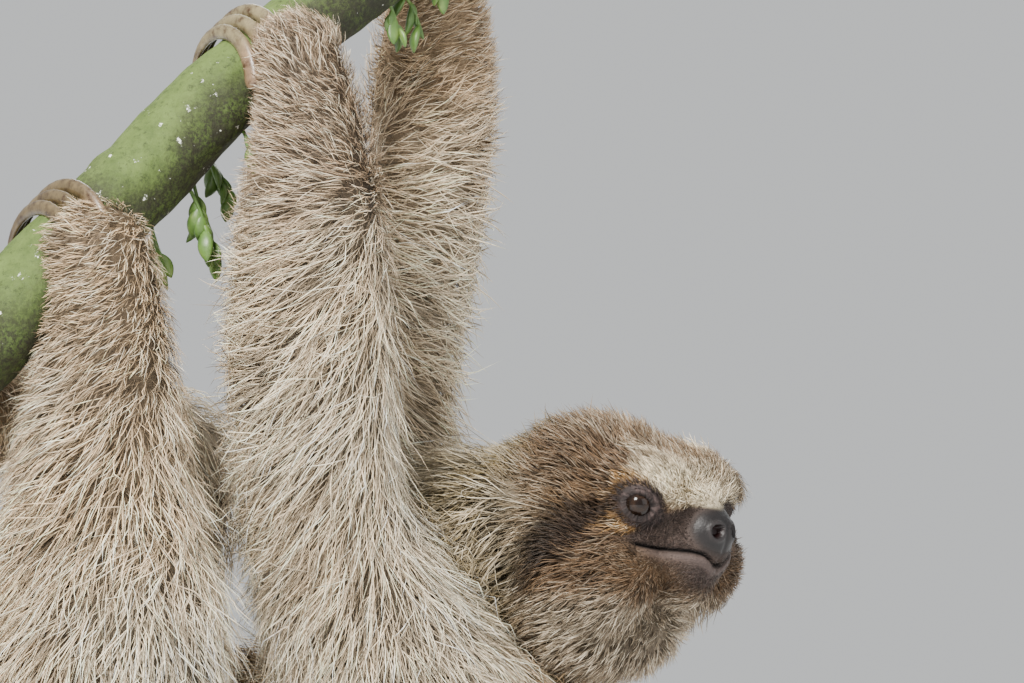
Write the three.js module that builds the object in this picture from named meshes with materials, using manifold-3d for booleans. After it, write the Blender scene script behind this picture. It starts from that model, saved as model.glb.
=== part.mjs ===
// Brown-throated three-toed sloth, life size, hanging from a sloping branch on a plain stand.
// Millimetres, +Z up. +X runs toward the branch's upper end, where the head is, and +Y toward
// the animal's left. The origin is the middle of the underside of the stand's base.
// The flesh solids reach out to the tips of the coat.

import * as THREE from "three";
import { mergeVertices } from "three/addons/utils/BufferGeometryUtils.js";
import Module from "manifold-3d";

const wasm = await Module();
wasm.setup();

// ---------------------------------------------------------------- driving dimensions

const SEAM = 0.4; // thin cut that parts one length of the body from the next
const CUT_REACH = 1.65; // radius of a cut over the radius of the limb there
const SLIVER_VOLUME = 300; // cubic millimetres; a cut's leavings are smaller
const CLEARANCE = 0.4; // space left round a claw, an eye or the branch
const FLESH_SPACE = 0.9; // space left round the trunk, neck or a limb where another meets it

// Each station is [x, y, z, radius] on a centre line.
const BRANCH = [
  [-182, -95, 262, 19.8],
  [-137, -77, 309, 18.8],
  [-70, -47, 378, 17.6],
  [-16, -20, 436, 15.8],
  [25, -3, 472, 15.4],
  [65, 20, 507, 15.2],
  [112, 46, 549, 14.6],
];
const BRANCH_KNOT = 0.035; // how far the bark swells and shrinks, as a share of the radius

const TRUNK = [
  [88, 26, 196, 54],
  [26, 27, 164, 73],
  [-35, 22, 138, 80],
  [-90, 16, 132, 74],
  [-142, 12, 148, 52],
];
const TRUNK_FLATNESS = 0.93; // width across the sides over depth from belly to back
const NECK = [
  [52, 28, 246, 46],
  [82, 13, 257, 48],
  [112, -2, 264, 37],
];
const TAIL = [
  [-146, 10, 152, 27],
  [-168, 8, 170, 22],
  [-186, 6, 184, 14],
];

// Each limb has a root length, from the body to the elbow or knee, and a tip length, from
// there to the palm or sole, which lies against the branch.
const ARM_RIGHT = {
  gripX: -13, // where its claws hook over the branch
  root: [
    [78, -14, 179, 48],
    [45, -28, 220, 46.5],
    [23, -37, 282, 35.5],
  ],
  tip: [
    [23, -37, 282, 36.8],
    [19.5, -37, 345, 37],
    [20, -36, 395, 32],
    [18, -35, 430, 24.5],
    [13.5, -35, 450, 19.5],
  ],
};
const ARM_LEFT = {
  gripX: 63,
  root: [
    [78, 64, 182, 47],
    [60, 75, 232, 41],
    [46, 78, 296, 30],
  ],
  tip: [
    [46, 78, 296, 31.5],
    [49, 77, 350, 31],
    [57, 72, 395, 31],
    [63, 62, 450, 28.5],
    [64, 46, 500, 16],
  ],
};
const LEG_RIGHT = {
  gripX: -80,
  root: [
    [-114, -12, 148, 56],
    [-90, -40, 178, 56],
    [-57, -62, 222, 50],
  ],
  tip: [
    [-57, -62, 222, 52],
    [-60, -60, 270, 44],
    [-59, -56, 312, 36],
    [-59, -57, 345, 30],
    [-61.5, -60, 373, 24.5],
  ],
};
const LEG_LEFT = {
  gripX: -133,
  root: [
    [-112, 42, 151, 54],
    [-76, 60, 218, 48],
    [-42, 64, 288, 36.5],
  ],
  tip: [
    [-42, 64, 288, 38],
    [-76, 26, 306, 30],
    [-106, -12, 315, 24],
    [-134, -46, 317, 16],
  ],
};
const WRIST_SHARE = 0.74; // where the hand or foot is parted, along the tip length

// Claws hook over the branch in a slanting upright plane.
const CLAW_COUNT = 3;
const CLAW_SPACING = 8.4; // between the roots, along the branch
const CLAW_TIP_SHARE = 0.6; // how far the claws draw together at the tips
const CLAW_ARC_RATIO = 1.42; // radius of a claw's centre line over the branch's radius
const CLAW_LIFT_RATIO = 0.14; // the arc's centre rises from the branch's by this share
const CLAW_LIFT_ANGLE = 70; // degrees above the level, toward the palm
const CLAW_ROOT_ANGLE = 12; // degrees above the level, on the palm's side
const CLAW_TIP_ANGLE = 172;
const CLAW_ROOT_RADIUS = 3.9;
const CLAW_TIP_RADIUS = 0.9;
const CLAW_WIDTH_SHARE = 0.6; // thickness side to side over depth
const PALM_TOWARD_RIGHT_SIDE = [0.64, -0.77, 0]; // from the branch toward a right palm
const PALM_TOWARD_LEFT_SIDE = [-0.1, 0.995, 0];

// Head, in its own axes: +X forward to the nose, +Y to the animal's left, +Z up.
const HEAD_CENTRE = [133, -7, 268];
const HEAD_YAW = -38; // degrees, turned to the animal's right
const HEAD_PITCH = 10; // degrees, nose down
const HEAD_MASSES = [
  { name: "cranium", at: [-8, 0, 5], half: [46, 42, 43], mirror: false },
  { name: "muzzle", at: [30, 0, 0], half: [24, 21, 17], mirror: false },
  { name: "bridge", at: [30, 0, 16], half: [19, 13, 13], mirror: false },
  { name: "cheek", at: [9, 25.5, -11], half: [33, 24, 28], mirror: true },
  { name: "brow", at: [21, 14, 22], half: [23, 21, 19], mirror: true },
  { name: "chin", at: [31, 0, -15], half: [16, 15, 11], mirror: false },
  { name: "throat", at: [0, 0, -34], half: [38, 37, 29], mirror: false },
];
const HEAD_BLEND = 9; // how softly the masses run together
const EYE_TOWARD = [27.5, 24.4, 14.1]; // from the head's centre, left eye
const EYE_RADIUS = 6;
const EYE_PROUD = 1.2; // how far the eyeball stands out of its lids
const EAR_TOWARD = [-22, 37, 9];
const EAR_HALF = [7, 4, 9];
const EAR_PROUD = 1.6;
const NOSE_AT = [48, 0, 8.5];
const NOSE_HALF = [7, 9, 7.5];

// Display stand
const BASE = { length: 430, width: 260, height: 16, bevel: 4, cornerRadius: 36 };
const ROD_RADIUS = 6;
const BRANCH_ROD = { x: -172, y: -91, top: 262 }; // the tops run into what they hold,
const BODY_ROD = { x: -35, y: 22, top: 90 }; // and are cut back to it

// ---------------------------------------------------------------- materials

function finish(color, roughness, metalness = 0) {
  return new THREE.MeshStandardMaterial({ color, roughness, metalness });
}
const COAT = finish(0xa58c69, 0.9);
const FACE_COAT = finish(0x8d7454, 0.9);
const NOSE_SKIN = finish(0x35343a, 0.45);
const EYE_GLOSS = finish(0x2a1610, 0.12);
const CLAW_HORN = finish(0xcdbb98, 0.45);
const BARK = finish(0x7c9a62, 0.85);
const STAND_PAINT = finish(0x3a3a3a, 0.55);
const ROD_STEEL = finish(0x9a9a9c, 0.35, 0.9);

// ---------------------------------------------------------------- solids

/** A manifold solid from any closed three.js geometry. */
function solidOf(geometry) {
  const bare = geometry.index ? geometry.toNonIndexed() : geometry.clone();
  bare.deleteAttribute("normal");
  bare.deleteAttribute("uv");
  const merged = mergeVertices(bare, 1e-3);
  const mesh = new wasm.Mesh({
    numProp: 3,
    vertProperties: new Float32Array(merged.attributes.position.array),
    triVerts: new Uint32Array(merged.index.array),
  });
  mesh.merge();
  return new wasm.Manifold(mesh);
}

/** A mesh geometry from rings of equal count between two poles, wound to face outward. */
function ringGeometry(rings, startPole, endPole) {
  const sides = rings[0].length;
  const points = [startPole, ...rings.flat(), endPole];
  const triangles = [];
  const at = (ring, side) => 1 + ring * sides + (side % sides);
  for (let side = 0; side < sides; side++) {
    triangles.push(0, at(0, side + 1), at(0, side));
    for (let ring = 0; ring + 1 < rings.length; ring++) {
      triangles.push(at(ring, side), at(ring, side + 1), at(ring + 1, side));
      triangles.push(at(ring, side + 1), at(ring + 1, side + 1), at(ring + 1, side));
    }
    triangles.push(points.length - 1, at(rings.length - 1, side), at(rings.length - 1, side + 1));
  }
  const geometry = new THREE.BufferGeometry().setFromPoints(points);
  geometry.setIndex(triangles);
  return geometry;
}

/** The centre line and radius of a row of stations, both by the share t of its stations. */
function spine(stations) {
  const centres = stations.map(([x, y, z]) => new THREE.Vector3(x, y, z));
  const radii = stations.map(([, , , radius], index) => new THREE.Vector2(index, radius));
  const line = new THREE.CatmullRomCurve3(centres);
  const profile = new THREE.SplineCurve(radii);
  return {
    point: (t) => line.getPoint(t),
    tangent: (t) => line.getTangent(t),
    radius: (t) => profile.getPoint(t).y,
  };
}

/** Two directions square to the tangent: the first lies as near as it can to `across`. */
function crossAxes(tangent, across) {
  const first = across.clone().addScaledVector(tangent, -across.dot(tangent)).normalize();
  const second = new THREE.Vector3().crossVectors(tangent, first);
  return [first, second];
}

/**
 * A round body swept along its spine, with domed or flat ends. `grow` swells it all over,
 * `flatten` scales its width along `across`, and `shape(t, angle)` scales its radius.
 */
function sweep(stations, options = {}) {
  const {
    sides = 12,
    ringCount = 7,
    domeRings = 2,
    domedEnd = true,
    across = new THREE.Vector3(0, 1, 0),
    flatten = 1,
    grow = 0,
    shape = () => 1,
  } = options;
  const body = spine(stations);
  const ringAt = (t, centre, scale) => {
    const [first, second] = crossAxes(body.tangent(t), across);
    return Array.from({ length: sides }, (_, side) => {
      const angle = (2 * Math.PI * side) / sides;
      const radius = body.radius(t) * shape(t, angle) * scale + grow * scale;
      return centre
        .clone()
        .addScaledVector(first, Math.cos(angle) * radius * flatten)
        .addScaledVector(second, Math.sin(angle) * radius);
    });
  };
  const dome = (t, direction) =>
    Array.from({ length: domeRings }, (_, index) => {
      const angle = ((index + 1) / (domeRings + 1)) * (Math.PI / 2);
      const reach = (body.radius(t) + grow) * Math.sin(angle) * direction;
      const centre = body.point(t).addScaledVector(body.tangent(t), reach);
      return ringAt(t, centre, Math.cos(angle));
    });
  const rings = [...dome(0, -1)].reverse();
  for (let ring = 0; ring < ringCount; ring++) {
    const t = ring / (ringCount - 1);
    rings.push(ringAt(t, body.point(t), 1));
  }
  if (domedEnd) rings.push(...dome(1, 1));
  const pole = (t, reach) =>
    body.point(t).addScaledVector(body.tangent(t), reach * (body.radius(t) + grow));
  const startReach = domeRings > 0 ? -1 : 0;
  const endReach = domedEnd && domeRings > 0 ? 1 : 0;
  return solidOf(ringGeometry(rings, pole(0, startReach), pole(1, endReach)));
}

/** An ellipsoid in the head's own axes. */
function ellipsoid(centre, half, grow = 0, segments = 12) {
  const geometry = new THREE.SphereGeometry(1, segments, Math.round(segments * 0.75));
  geometry.scale(half[0] + grow, half[1] + grow, half[2] + grow);
  geometry.translate(...centre);
  return geometry;
}

/** A thin disc across a limb, for one cut. */
function cutDisc(centre, normal, limbRadius) {
  const radius = limbRadius * CUT_REACH;
  const disc = new THREE.CylinderGeometry(radius, radius, SEAM, 16);
  disc.applyQuaternion(
    new THREE.Quaternion().setFromUnitVectors(new THREE.Vector3(0, 1, 0), normal),
  );
  disc.translate(...centre.toArray());
  return solidOf(disc);
}

/** A limb's flesh parted at its middle joint and its wrist: [root, middle, tip] solids. */
function partLimb(flesh, limb) {
  const root = spine(limb.root);
  const tip = spine(limb.tip);
  const bisector = root.tangent(1).add(tip.tangent(0)).normalize();
  const joint = cutDisc(tip.point(0), bisector, tip.radius(0));
  const wrist = cutDisc(
    tip.point(WRIST_SHARE),
    tip.tangent(WRIST_SHARE),
    tip.radius(WRIST_SHARE),
  );
  const lengths = flesh.subtract(joint).subtract(wrist).decompose();
  const whole = lengths.filter((piece) => piece.volume() > SLIVER_VOLUME);
  if (whole.length !== 3) throw new Error(`a limb fell into ${whole.length} lengths`);
  const height = (piece) => piece.boundingBox().min[2] + piece.boundingBox().max[2];
  return whole.sort((a, b) => height(a) - height(b));
}

/** The largest single piece of a solid, without slivers left by a cut. */
function mainPiece(solid) {
  return solid.decompose().reduce((best, piece) => (piece.volume() > best.volume() ? piece : best));
}

// ---------------------------------------------------------------- branch and claws

function branchSolid(grow) {
  const bumps = (t, angle) =>
    1 + BRANCH_KNOT * (Math.sin(23 * t + 2 * angle) + 0.6 * Math.sin(41 * t - 3 * angle));
  return sweep(BRANCH, { sides: 12, ringCount: 16, domeRings: 0, grow, shape: bumps });
}

/** Where a limb's claws grip the branch's centre line, which climbs steadily along X. */
function gripOf(limb) {
  const line = spine(BRANCH);
  let low = 0;
  let high = 1;
  for (let round = 0; round < 24; round++) {
    const middle = (low + high) / 2;
    if (line.point(middle).x < limb.gripX) low = middle;
    else high = middle;
  }
  return { centre: line.point(low), along: line.tangent(low), radius: line.radius(low) };
}

/** The stations of one claw; `rank` is -1, 0 or 1 down to up along the branch. */
function clawStations(grip, palmToward, rank) {
  const palmSide = new THREE.Vector3(...palmToward).normalize();
  const up = new THREE.Vector3(0, 0, 1);
  const count = 6;
  const arc = grip.radius * CLAW_ARC_RATIO;
  const lift = grip.radius * CLAW_LIFT_RATIO;
  const liftAngle = THREE.MathUtils.degToRad(CLAW_LIFT_ANGLE);
  return Array.from({ length: count }, (_, index) => {
    const share = index / (count - 1);
    const degrees = CLAW_ROOT_ANGLE + (CLAW_TIP_ANGLE - CLAW_ROOT_ANGLE) * share;
    const angle = THREE.MathUtils.degToRad(degrees);
    const spread = rank * CLAW_SPACING * (1 - CLAW_TIP_SHARE * share);
    const point = grip.centre
      .clone()
      .addScaledVector(grip.along, spread)
      .addScaledVector(palmSide, Math.cos(angle) * arc + Math.cos(liftAngle) * lift)
      .addScaledVector(up, Math.sin(angle) * arc + Math.sin(liftAngle) * lift);
    const radius = THREE.MathUtils.lerp(CLAW_ROOT_RADIUS, CLAW_TIP_RADIUS, share ** 1.6);
    return [...point.toArray(), radius];
  });
}

function clawSolids(limb, palmToward, grow = 0) {
  const grip = gripOf(limb);
  const palmSide = new THREE.Vector3(...palmToward).normalize();
  const across = new THREE.Vector3().crossVectors(palmSide, new THREE.Vector3(0, 0, 1));
  return Array.from({ length: CLAW_COUNT }, (_, index) =>
    sweep(clawStations(grip, palmToward, index - (CLAW_COUNT - 1) / 2), {
      sides: 6,
      ringCount: 6,
      domeRings: 1,
      across,
      flatten: CLAW_WIDTH_SHARE,
      grow,
    }),
  );
}

// ---------------------------------------------------------------- head

const headPlace = new THREE.Matrix4().compose(
  new THREE.Vector3(...HEAD_CENTRE),
  new THREE.Quaternion().setFromEuler(
    new THREE.Euler(
      0,
      THREE.MathUtils.degToRad(HEAD_PITCH),
      THREE.MathUtils.degToRad(HEAD_YAW),
      "ZYX",
    ),
  ),
  new THREE.Vector3(1, 1, 1),
);

function placedOnHead(geometry) {
  return solidOf(geometry.clone().applyMatrix4(headPlace));
}

function ellipsoidDistance(point, at, half) {
  const scaled = [0, 1, 2].map((axis) => (point.getComponent(axis) - at[axis]) / half[axis]);
  const near = Math.hypot(...scaled);
  const slope = Math.hypot(...scaled.map((value, axis) => value / half[axis]));
  return near < 1e-6 ? -Math.min(...half) : (near * (near - 1)) / slope;
}

function softMin(a, b) {
  const share = THREE.MathUtils.clamp(0.5 + (0.5 * (b - a)) / HEAD_BLEND, 0, 1);
  return THREE.MathUtils.lerp(b, a, share) - HEAD_BLEND * share * (1 - share);
}

/** Distance outside the head's surface, with its masses run softly together. */
function headDistance(point) {
  let distance = Infinity;
  for (const mass of HEAD_MASSES) {
    const sides = mass.mirror ? [1, -1] : [1];
    for (const side of sides) {
      const at = [mass.at[0], mass.at[1] * side, mass.at[2]];
      const here = ellipsoidDistance(point, at, mass.half);
      distance = distance === Infinity ? here : softMin(distance, here);
    }
  }
  return distance;
}

/** The head's surface in one direction from its centre. */
function headSurface(direction) {
  const unit = direction.clone().normalize();
  let inside = 10;
  let outside = 110;
  for (let round = 0; round < 24; round++) {
    const middle = (inside + outside) / 2;
    if (headDistance(unit.clone().multiplyScalar(middle)) < 0) inside = middle;
    else outside = middle;
  }
  return unit.multiplyScalar(inside);
}

/** The head as rings round its fore-and-aft axis. */
function headGeometry() {
  const sides = 22;
  const count = 15;
  const rings = Array.from({ length: count }, (_, ring) => {
    const tilt = (Math.PI * (ring + 1)) / (count + 1);
    return Array.from({ length: sides }, (_, side) => {
      const angle = (2 * Math.PI * side) / sides;
      const radial = Math.sin(tilt);
      return headSurface(
        new THREE.Vector3(-Math.cos(tilt), radial * Math.cos(angle), radial * Math.sin(angle)),
      );
    });
  });
  const back = headSurface(new THREE.Vector3(-1, 0, 0));
  const front = headSurface(new THREE.Vector3(1, 0, 0));
  return ringGeometry(rings, back, front);
}

function mirrored([x, y, z], side) {
  return new THREE.Vector3(x, y * side, z);
}

function eyeCentre(side) {
  const surface = headSurface(mirrored(EYE_TOWARD, side));
  return surface.multiplyScalar(1 - (EYE_RADIUS - EYE_PROUD) / surface.length());
}

function earCentre(side) {
  const surface = headSurface(mirrored(EAR_TOWARD, side));
  return surface.multiplyScalar(1 - (EAR_HALF[1] - EAR_PROUD) / surface.length());
}

function earSolid(side, grow) {
  return placedOnHead(ellipsoid(earCentre(side).toArray(), EAR_HALF, grow, 8));
}

/** The head with its ears, swollen all over, which its neighbours are cut back to. */
function spaceOfHead() {
  const geometry = headGeometry();
  const swell = 1 + FLESH_SPACE / HEAD_MASSES[0].half[1];
  geometry.scale(swell, swell, swell);
  return placedOnHead(geometry)
    .add(earSolid(1, FLESH_SPACE))
    .add(earSolid(-1, FLESH_SPACE));
}

// ---------------------------------------------------------------- assembly

const group = new THREE.Group();

/** Adds one solid as a named mesh whose position is its own pivot. */
function addPart(name, solid, material, pivot) {
  const mesh = solid.getMesh();
  const geometry = new THREE.BufferGeometry();
  geometry.setAttribute("position", new THREE.BufferAttribute(mesh.vertProperties, 3));
  geometry.setIndex(new THREE.BufferAttribute(mesh.triVerts, 1));
  geometry.translate(-pivot[0], -pivot[1], -pivot[2]);
  const part = new THREE.Mesh(geometry, material);
  part.name = name;
  part.position.set(...pivot);
  group.add(part);
}

function joined(solids) {
  return solids.reduce((sum, solid) => sum.add(solid));
}

const branch = branchSolid(0);
const branchSpace = branchSolid(CLEARANCE);
addPart("branch", branch, BARK, BRANCH[0].slice(0, 3));

const LIMBS = [
  { side: "right", kind: "arm", limb: ARM_RIGHT, palm: PALM_TOWARD_RIGHT_SIDE },
  { side: "right", kind: "leg", limb: LEG_RIGHT, palm: PALM_TOWARD_RIGHT_SIDE },
  { side: "left", kind: "arm", limb: ARM_LEFT, palm: PALM_TOWARD_LEFT_SIDE },
  { side: "left", kind: "leg", limb: LEG_LEFT, palm: PALM_TOWARD_LEFT_SIDE },
];
const LENGTH_NAMES = {
  arm: ["upper_arm", "forearm", "hand"],
  leg: ["thigh", "shin", "foot"],
};

const head = placedOnHead(headGeometry());
const headSpace = spaceOfHead();
const trunk = sweep(TRUNK, { sides: 18, flatten: TRUNK_FLATNESS });
const trunkSpace = sweep(TRUNK, { sides: 18, flatten: TRUNK_FLATNESS, grow: FLESH_SPACE });
const neck = sweep(NECK, { sides: 14, ringCount: 5 });
const neckSpace = sweep(NECK, { sides: 14, ringCount: 5, grow: FLESH_SPACE });

/** Both lengths of a limb in one, before it is parted. */
function limbSolid(limb, grow = 0) {
  const root = sweep(limb.root, { grow, domedEnd: false, ringCount: 5 });
  return root.add(sweep(limb.tip, { grow }));
}

// Limbs, each cut back to the branch, the claws, the trunk and the limbs before it
let limbsSpace = null;
for (const { side, kind, limb, palm } of LIMBS) {
  const clawSpace = joined(clawSolids(limb, palm, CLEARANCE));
  const around = [branchSpace, clawSpace, trunkSpace, neckSpace, headSpace];
  if (limbsSpace) around.push(limbsSpace);
  const flesh = around.reduce((rest, space) => rest.subtract(space), limbSolid(limb));
  const space = limbSolid(limb, FLESH_SPACE);
  limbsSpace = limbsSpace ? limbsSpace.add(space) : space;

  const pivots = [spine(limb.root).point(0), spine(limb.tip).point(0)];
  pivots.push(spine(limb.tip).point(WRIST_SHARE));
  partLimb(flesh, limb).forEach((length, index) => {
    addPart(`${LENGTH_NAMES[kind][index]}_${side}`, length, COAT, pivots[index].toArray());
  });
  const grip = gripOf(limb).centre.toArray();
  clawSolids(limb, palm).forEach((claw, index) => {
    const name = `claw_${LENGTH_NAMES[kind][2]}_${side}_${index + 1}`;
    addPart(name, mainPiece(claw.subtract(branchSpace)), CLAW_HORN, grip);
  });
}

// Trunk, neck and tail
addPart("trunk", mainPiece(trunk.subtract(headSpace)), COAT, TRUNK[0].slice(0, 3));
addPart(
  "neck",
  mainPiece(neck.subtract(trunkSpace).subtract(headSpace)),
  COAT,
  NECK[0].slice(0, 3),
);
addPart(
  "tail",
  mainPiece(sweep(TAIL, { sides: 12, ringCount: 5 }).subtract(trunkSpace).subtract(limbsSpace)),
  COAT,
  TAIL[0].slice(0, 3),
);

// Head with its eyes, ears and nose
let skull = head;
for (const [side, word] of [
  [1, "left"],
  [-1, "right"],
]) {
  const eye = eyeCentre(side).toArray();
  const ball = [EYE_RADIUS, EYE_RADIUS, EYE_RADIUS];
  skull = skull
    .subtract(placedOnHead(ellipsoid(eye, ball, CLEARANCE, 10)))
    .subtract(earSolid(side, CLEARANCE));
  addPart(`eye_${word}`, placedOnHead(ellipsoid(eye, ball, 0, 10)), EYE_GLOSS, HEAD_CENTRE);
  addPart(`ear_${word}`, earSolid(side, 0), FACE_COAT, HEAD_CENTRE);
}
skull = skull.subtract(placedOnHead(ellipsoid(NOSE_AT, NOSE_HALF, CLEARANCE, 10)));
addPart("nose", placedOnHead(ellipsoid(NOSE_AT, NOSE_HALF, 0, 10)), NOSE_SKIN, HEAD_CENTRE);
addPart("head", mainPiece(skull), FACE_COAT, HEAD_CENTRE);

// ---------------------------------------------------------------- stand

function baseGeometry() {
  const { length, width, height, bevel, cornerRadius } = BASE;
  const x = length / 2 - bevel;
  const y = width / 2 - bevel;
  const outline = new THREE.Shape();
  outline.moveTo(-x + cornerRadius, -y);
  outline.absarc(x - cornerRadius, -y + cornerRadius, cornerRadius, -Math.PI / 2, 0);
  outline.absarc(x - cornerRadius, y - cornerRadius, cornerRadius, 0, Math.PI / 2);
  outline.absarc(-x + cornerRadius, y - cornerRadius, cornerRadius, Math.PI / 2, Math.PI);
  outline.absarc(-x + cornerRadius, -y + cornerRadius, cornerRadius, Math.PI, 1.5 * Math.PI);
  const geometry = new THREE.ExtrudeGeometry(outline, {
    depth: height - 2 * bevel,
    curveSegments: 4,
    bevelEnabled: true,
    bevelThickness: bevel,
    bevelSize: bevel,
    bevelSegments: 1,
  });
  geometry.translate(0, 0, bevel);
  return geometry;
}

addPart("stand_base", solidOf(baseGeometry()), STAND_PAINT, [0, 0, 0]);

/** An upright rod from the base's top, cut back to what it holds up. */
function rod({ x, y, top }, held) {
  const foot = BASE.height + SEAM;
  const geometry = new THREE.CylinderGeometry(ROD_RADIUS, ROD_RADIUS, top - foot, 20);
  geometry.rotateX(Math.PI / 2);
  geometry.translate(x, y, (top + foot) / 2);
  return mainPiece(solidOf(geometry).subtract(held));
}

for (const [name, place, held] of [
  ["stand_rod_body", BODY_ROD, trunkSpace],
  ["stand_rod_branch", BRANCH_ROD, branchSpace],
]) {
  addPart(name, rod(place, held), ROD_STEEL, [place.x, place.y, BASE.height]);
}

export default group;
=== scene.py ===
"""A life-size museum model of a brown-throated three-toed sloth hanging from a branch.

The solids of the frame give every form out to the tips of the coat. This file dresses them:
a skin with lids, nostrils and mouth, a coat of solid tufts, horn claws, glossy eyes, a
bark-covered branch with its small plants, and the display stand. Everything is in metres.
"""

import math

import bmesh
import bpy
import numpy as np
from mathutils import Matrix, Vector, kdtree


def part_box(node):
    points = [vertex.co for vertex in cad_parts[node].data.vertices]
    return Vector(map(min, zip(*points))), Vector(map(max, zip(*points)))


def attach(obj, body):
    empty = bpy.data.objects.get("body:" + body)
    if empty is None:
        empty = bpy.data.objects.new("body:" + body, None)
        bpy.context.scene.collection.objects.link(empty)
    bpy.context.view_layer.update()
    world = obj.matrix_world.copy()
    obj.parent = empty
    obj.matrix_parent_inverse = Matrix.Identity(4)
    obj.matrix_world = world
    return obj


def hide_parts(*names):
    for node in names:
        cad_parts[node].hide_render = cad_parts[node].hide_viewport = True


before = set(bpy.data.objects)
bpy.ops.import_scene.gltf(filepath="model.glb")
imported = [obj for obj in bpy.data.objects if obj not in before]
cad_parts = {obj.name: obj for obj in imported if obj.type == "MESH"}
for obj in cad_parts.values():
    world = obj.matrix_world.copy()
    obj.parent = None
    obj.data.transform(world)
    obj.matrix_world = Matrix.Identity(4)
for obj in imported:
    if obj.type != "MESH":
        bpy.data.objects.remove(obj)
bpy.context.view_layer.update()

bl_info = {
    "name": "Hanging Sloth Dressing",
    "version": (1, 0, 0),
    "blender": (4, 5, 0),
    "location": "3D View > Sidebar > Sloth",
    "description": "Skin, coat, claws, branch and stand of a hanging three-toed sloth",
    "category": "Object",
}

ROOT = "root"
MM = 0.001
SEED = 2417


def millimetres(*values):
    return np.array(values) * MM


# ------------------------------------------------------------------ body lines

# The body's lengths, as stations of (x, y, z, radius, coat depth) in millimetres. The radius
# reaches the tips of the coat, and the skin lies under them by the coat's depth.
BODY_LENGTHS = {
    "trunk": [(88, 26, 196, 54, 17), (26, 27, 164, 73, 19), (-35, 22, 138, 80, 20),
              (-90, 16, 132, 74, 20), (-142, 12, 148, 52, 17)],
    "neck": [(52, 28, 246, 46, 14), (82, 13, 257, 48, 13), (112, -2, 264, 37, 10)],
    "tail": [(-146, 10, 152, 27, 9), (-168, 8, 170, 22, 8), (-186, 6, 184, 14, 6)],
    "arm_right": [(78, -14, 179, 48, 15), (45, -28, 220, 46.5, 14), (23, -37, 282, 36, 13),
                  (19.5, -37, 345, 37, 12), (20, -36, 395, 32, 10), (18, -35, 430, 24.5, 7),
                  (13.5, -35, 450, 19.5, 4.5)],
    "arm_left": [(78, 64, 182, 47, 15), (60, 75, 232, 41, 13), (46, 78, 296, 31, 11),
                 (49, 77, 350, 31, 11), (57, 72, 395, 31, 10), (63, 62, 450, 28.5, 7),
                 (64, 46, 500, 16, 4)],
    "leg_right": [(-114, -12, 148, 56, 17), (-90, -40, 178, 56, 16), (-57, -62, 222, 51, 14),
                  (-60, -60, 270, 44, 13), (-59, -56, 312, 36, 10), (-59, -57, 345, 30, 7),
                  (-61.5, -60, 373, 24.5, 5)],
    "leg_left": [(-112, 42, 151, 54, 17), (-76, 60, 218, 48, 14), (-42, 64, 288, 37.5, 11),
                 (-76, 26, 306, 30, 9), (-106, -12, 315, 24, 7), (-134, -46, 317, 16, 4)],
}
LENGTH_NAMES = [*BODY_LENGTHS, "head"]
TRUNK_FLATNESS = 0.93
TRUNK_MIDDLE_Y = 20
BRANCH = [(-182, -95, 262, 19.8), (-137, -77, 309, 18.8), (-70, -47, 378, 17.6),
          (-16, -20, 436, 15.8), (25, -3, 472, 15.4), (65, 20, 507, 15.2), (112, 46, 549, 14.6)]
FLESH_BLEND = 4.0 * MM  # how softly one length runs into the next

# ------------------------------------------------------------------ head

HEAD_CENTRE = millimetres(133, -7, 268)
HEAD_YAW = math.radians(-38)
HEAD_PITCH = math.radians(10)
# Each mass is (centre, half sizes) in the head's own axes, in mm: +X nose, +Y left, +Z up.
HEAD_MASSES = [
    ((-8, 0, 5), (46, 42, 43)), ((30, 0, 0), (24, 21, 17)), ((30, 0, 16), (19, 13, 13)),
    ((9, 25.5, -11), (33, 24, 28)), ((9, -25.5, -11), (33, 24, 28)),
    ((21, 14, 22), (23, 21, 19)), ((21, -14, 22), (23, 21, 19)),
    ((31, 0, -15), (16, 15, 11)), ((0, 0, -34), (38, 37, 29)),
]
HEAD_BLEND = 3.0 * MM
HEAD_REACH = (62, 56, 60)  # half sizes of the room that the head fills, in mm
EYE_SHIFT = millimetres(0.6, 0.0, 1.4)  # of the open lids, from the middle of the eye's form
EYE_RADIUS = 6.0 * MM
EYE_SUNK = 1.9 * MM
LID_THICKNESS = 1.1 * MM
LID_HALF_WIDTH = 4.4 * MM
LID_HEIGHTS = (2.9 * MM, 2.1 * MM)  # of the upper and the lower lid's arch
LID_TILT = math.radians(20)  # the front corner is the lower one
LID_REACH = 10.5 * MM  # how far from the eye's middle its lids shape the skin
LID_OPENING = 4.8 * MM  # how deep the opening is cut, from the eye's middle
LID_BLEND = 1.5 * MM
FOLD_RADIUS = 5.2 * MM  # of the fold over the upper lid
FOLD_HEIGHT = 0.5 * MM
NOSE_CENTRE = millimetres(47.5, 0, 8.8)
NOSE_HALF = millimetres(7.2, 9.6, 8.0)
NOSE_BLEND = 2.2 * MM
NOSE_LEATHER = 1.8 * MM  # how far round the nose its bare leather reaches
NOSTRIL = millimetres(54.0, 4.9, 10.2)
NOSTRIL_DEPTH = 3.4 * MM
NOSTRIL_TURN = math.radians(24)
NOSTRIL_RIM = 0.55 * MM  # how far its rim swells
LIP_SWELL = 0.7 * MM
LIP_CLEFT = 0.4 * MM  # depth of the furrow under the nose
EAR_BLEND = 1.5 * MM
EAR_HALF = millimetres(6.5, 3.4, 8.5)
MOUTH_DEPTH = 2.1 * MM
MOUTH_WIDTH = 0.6 * MM
MOUTH_Y = millimetres(0, 3, 5.5, 8, 12, 20, 29, 34)
MOUTH_Z = millimetres(-3.3, -2.7, -0.5, 1.0, 1.7, 1.2, 2.3, 2.9)
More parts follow.
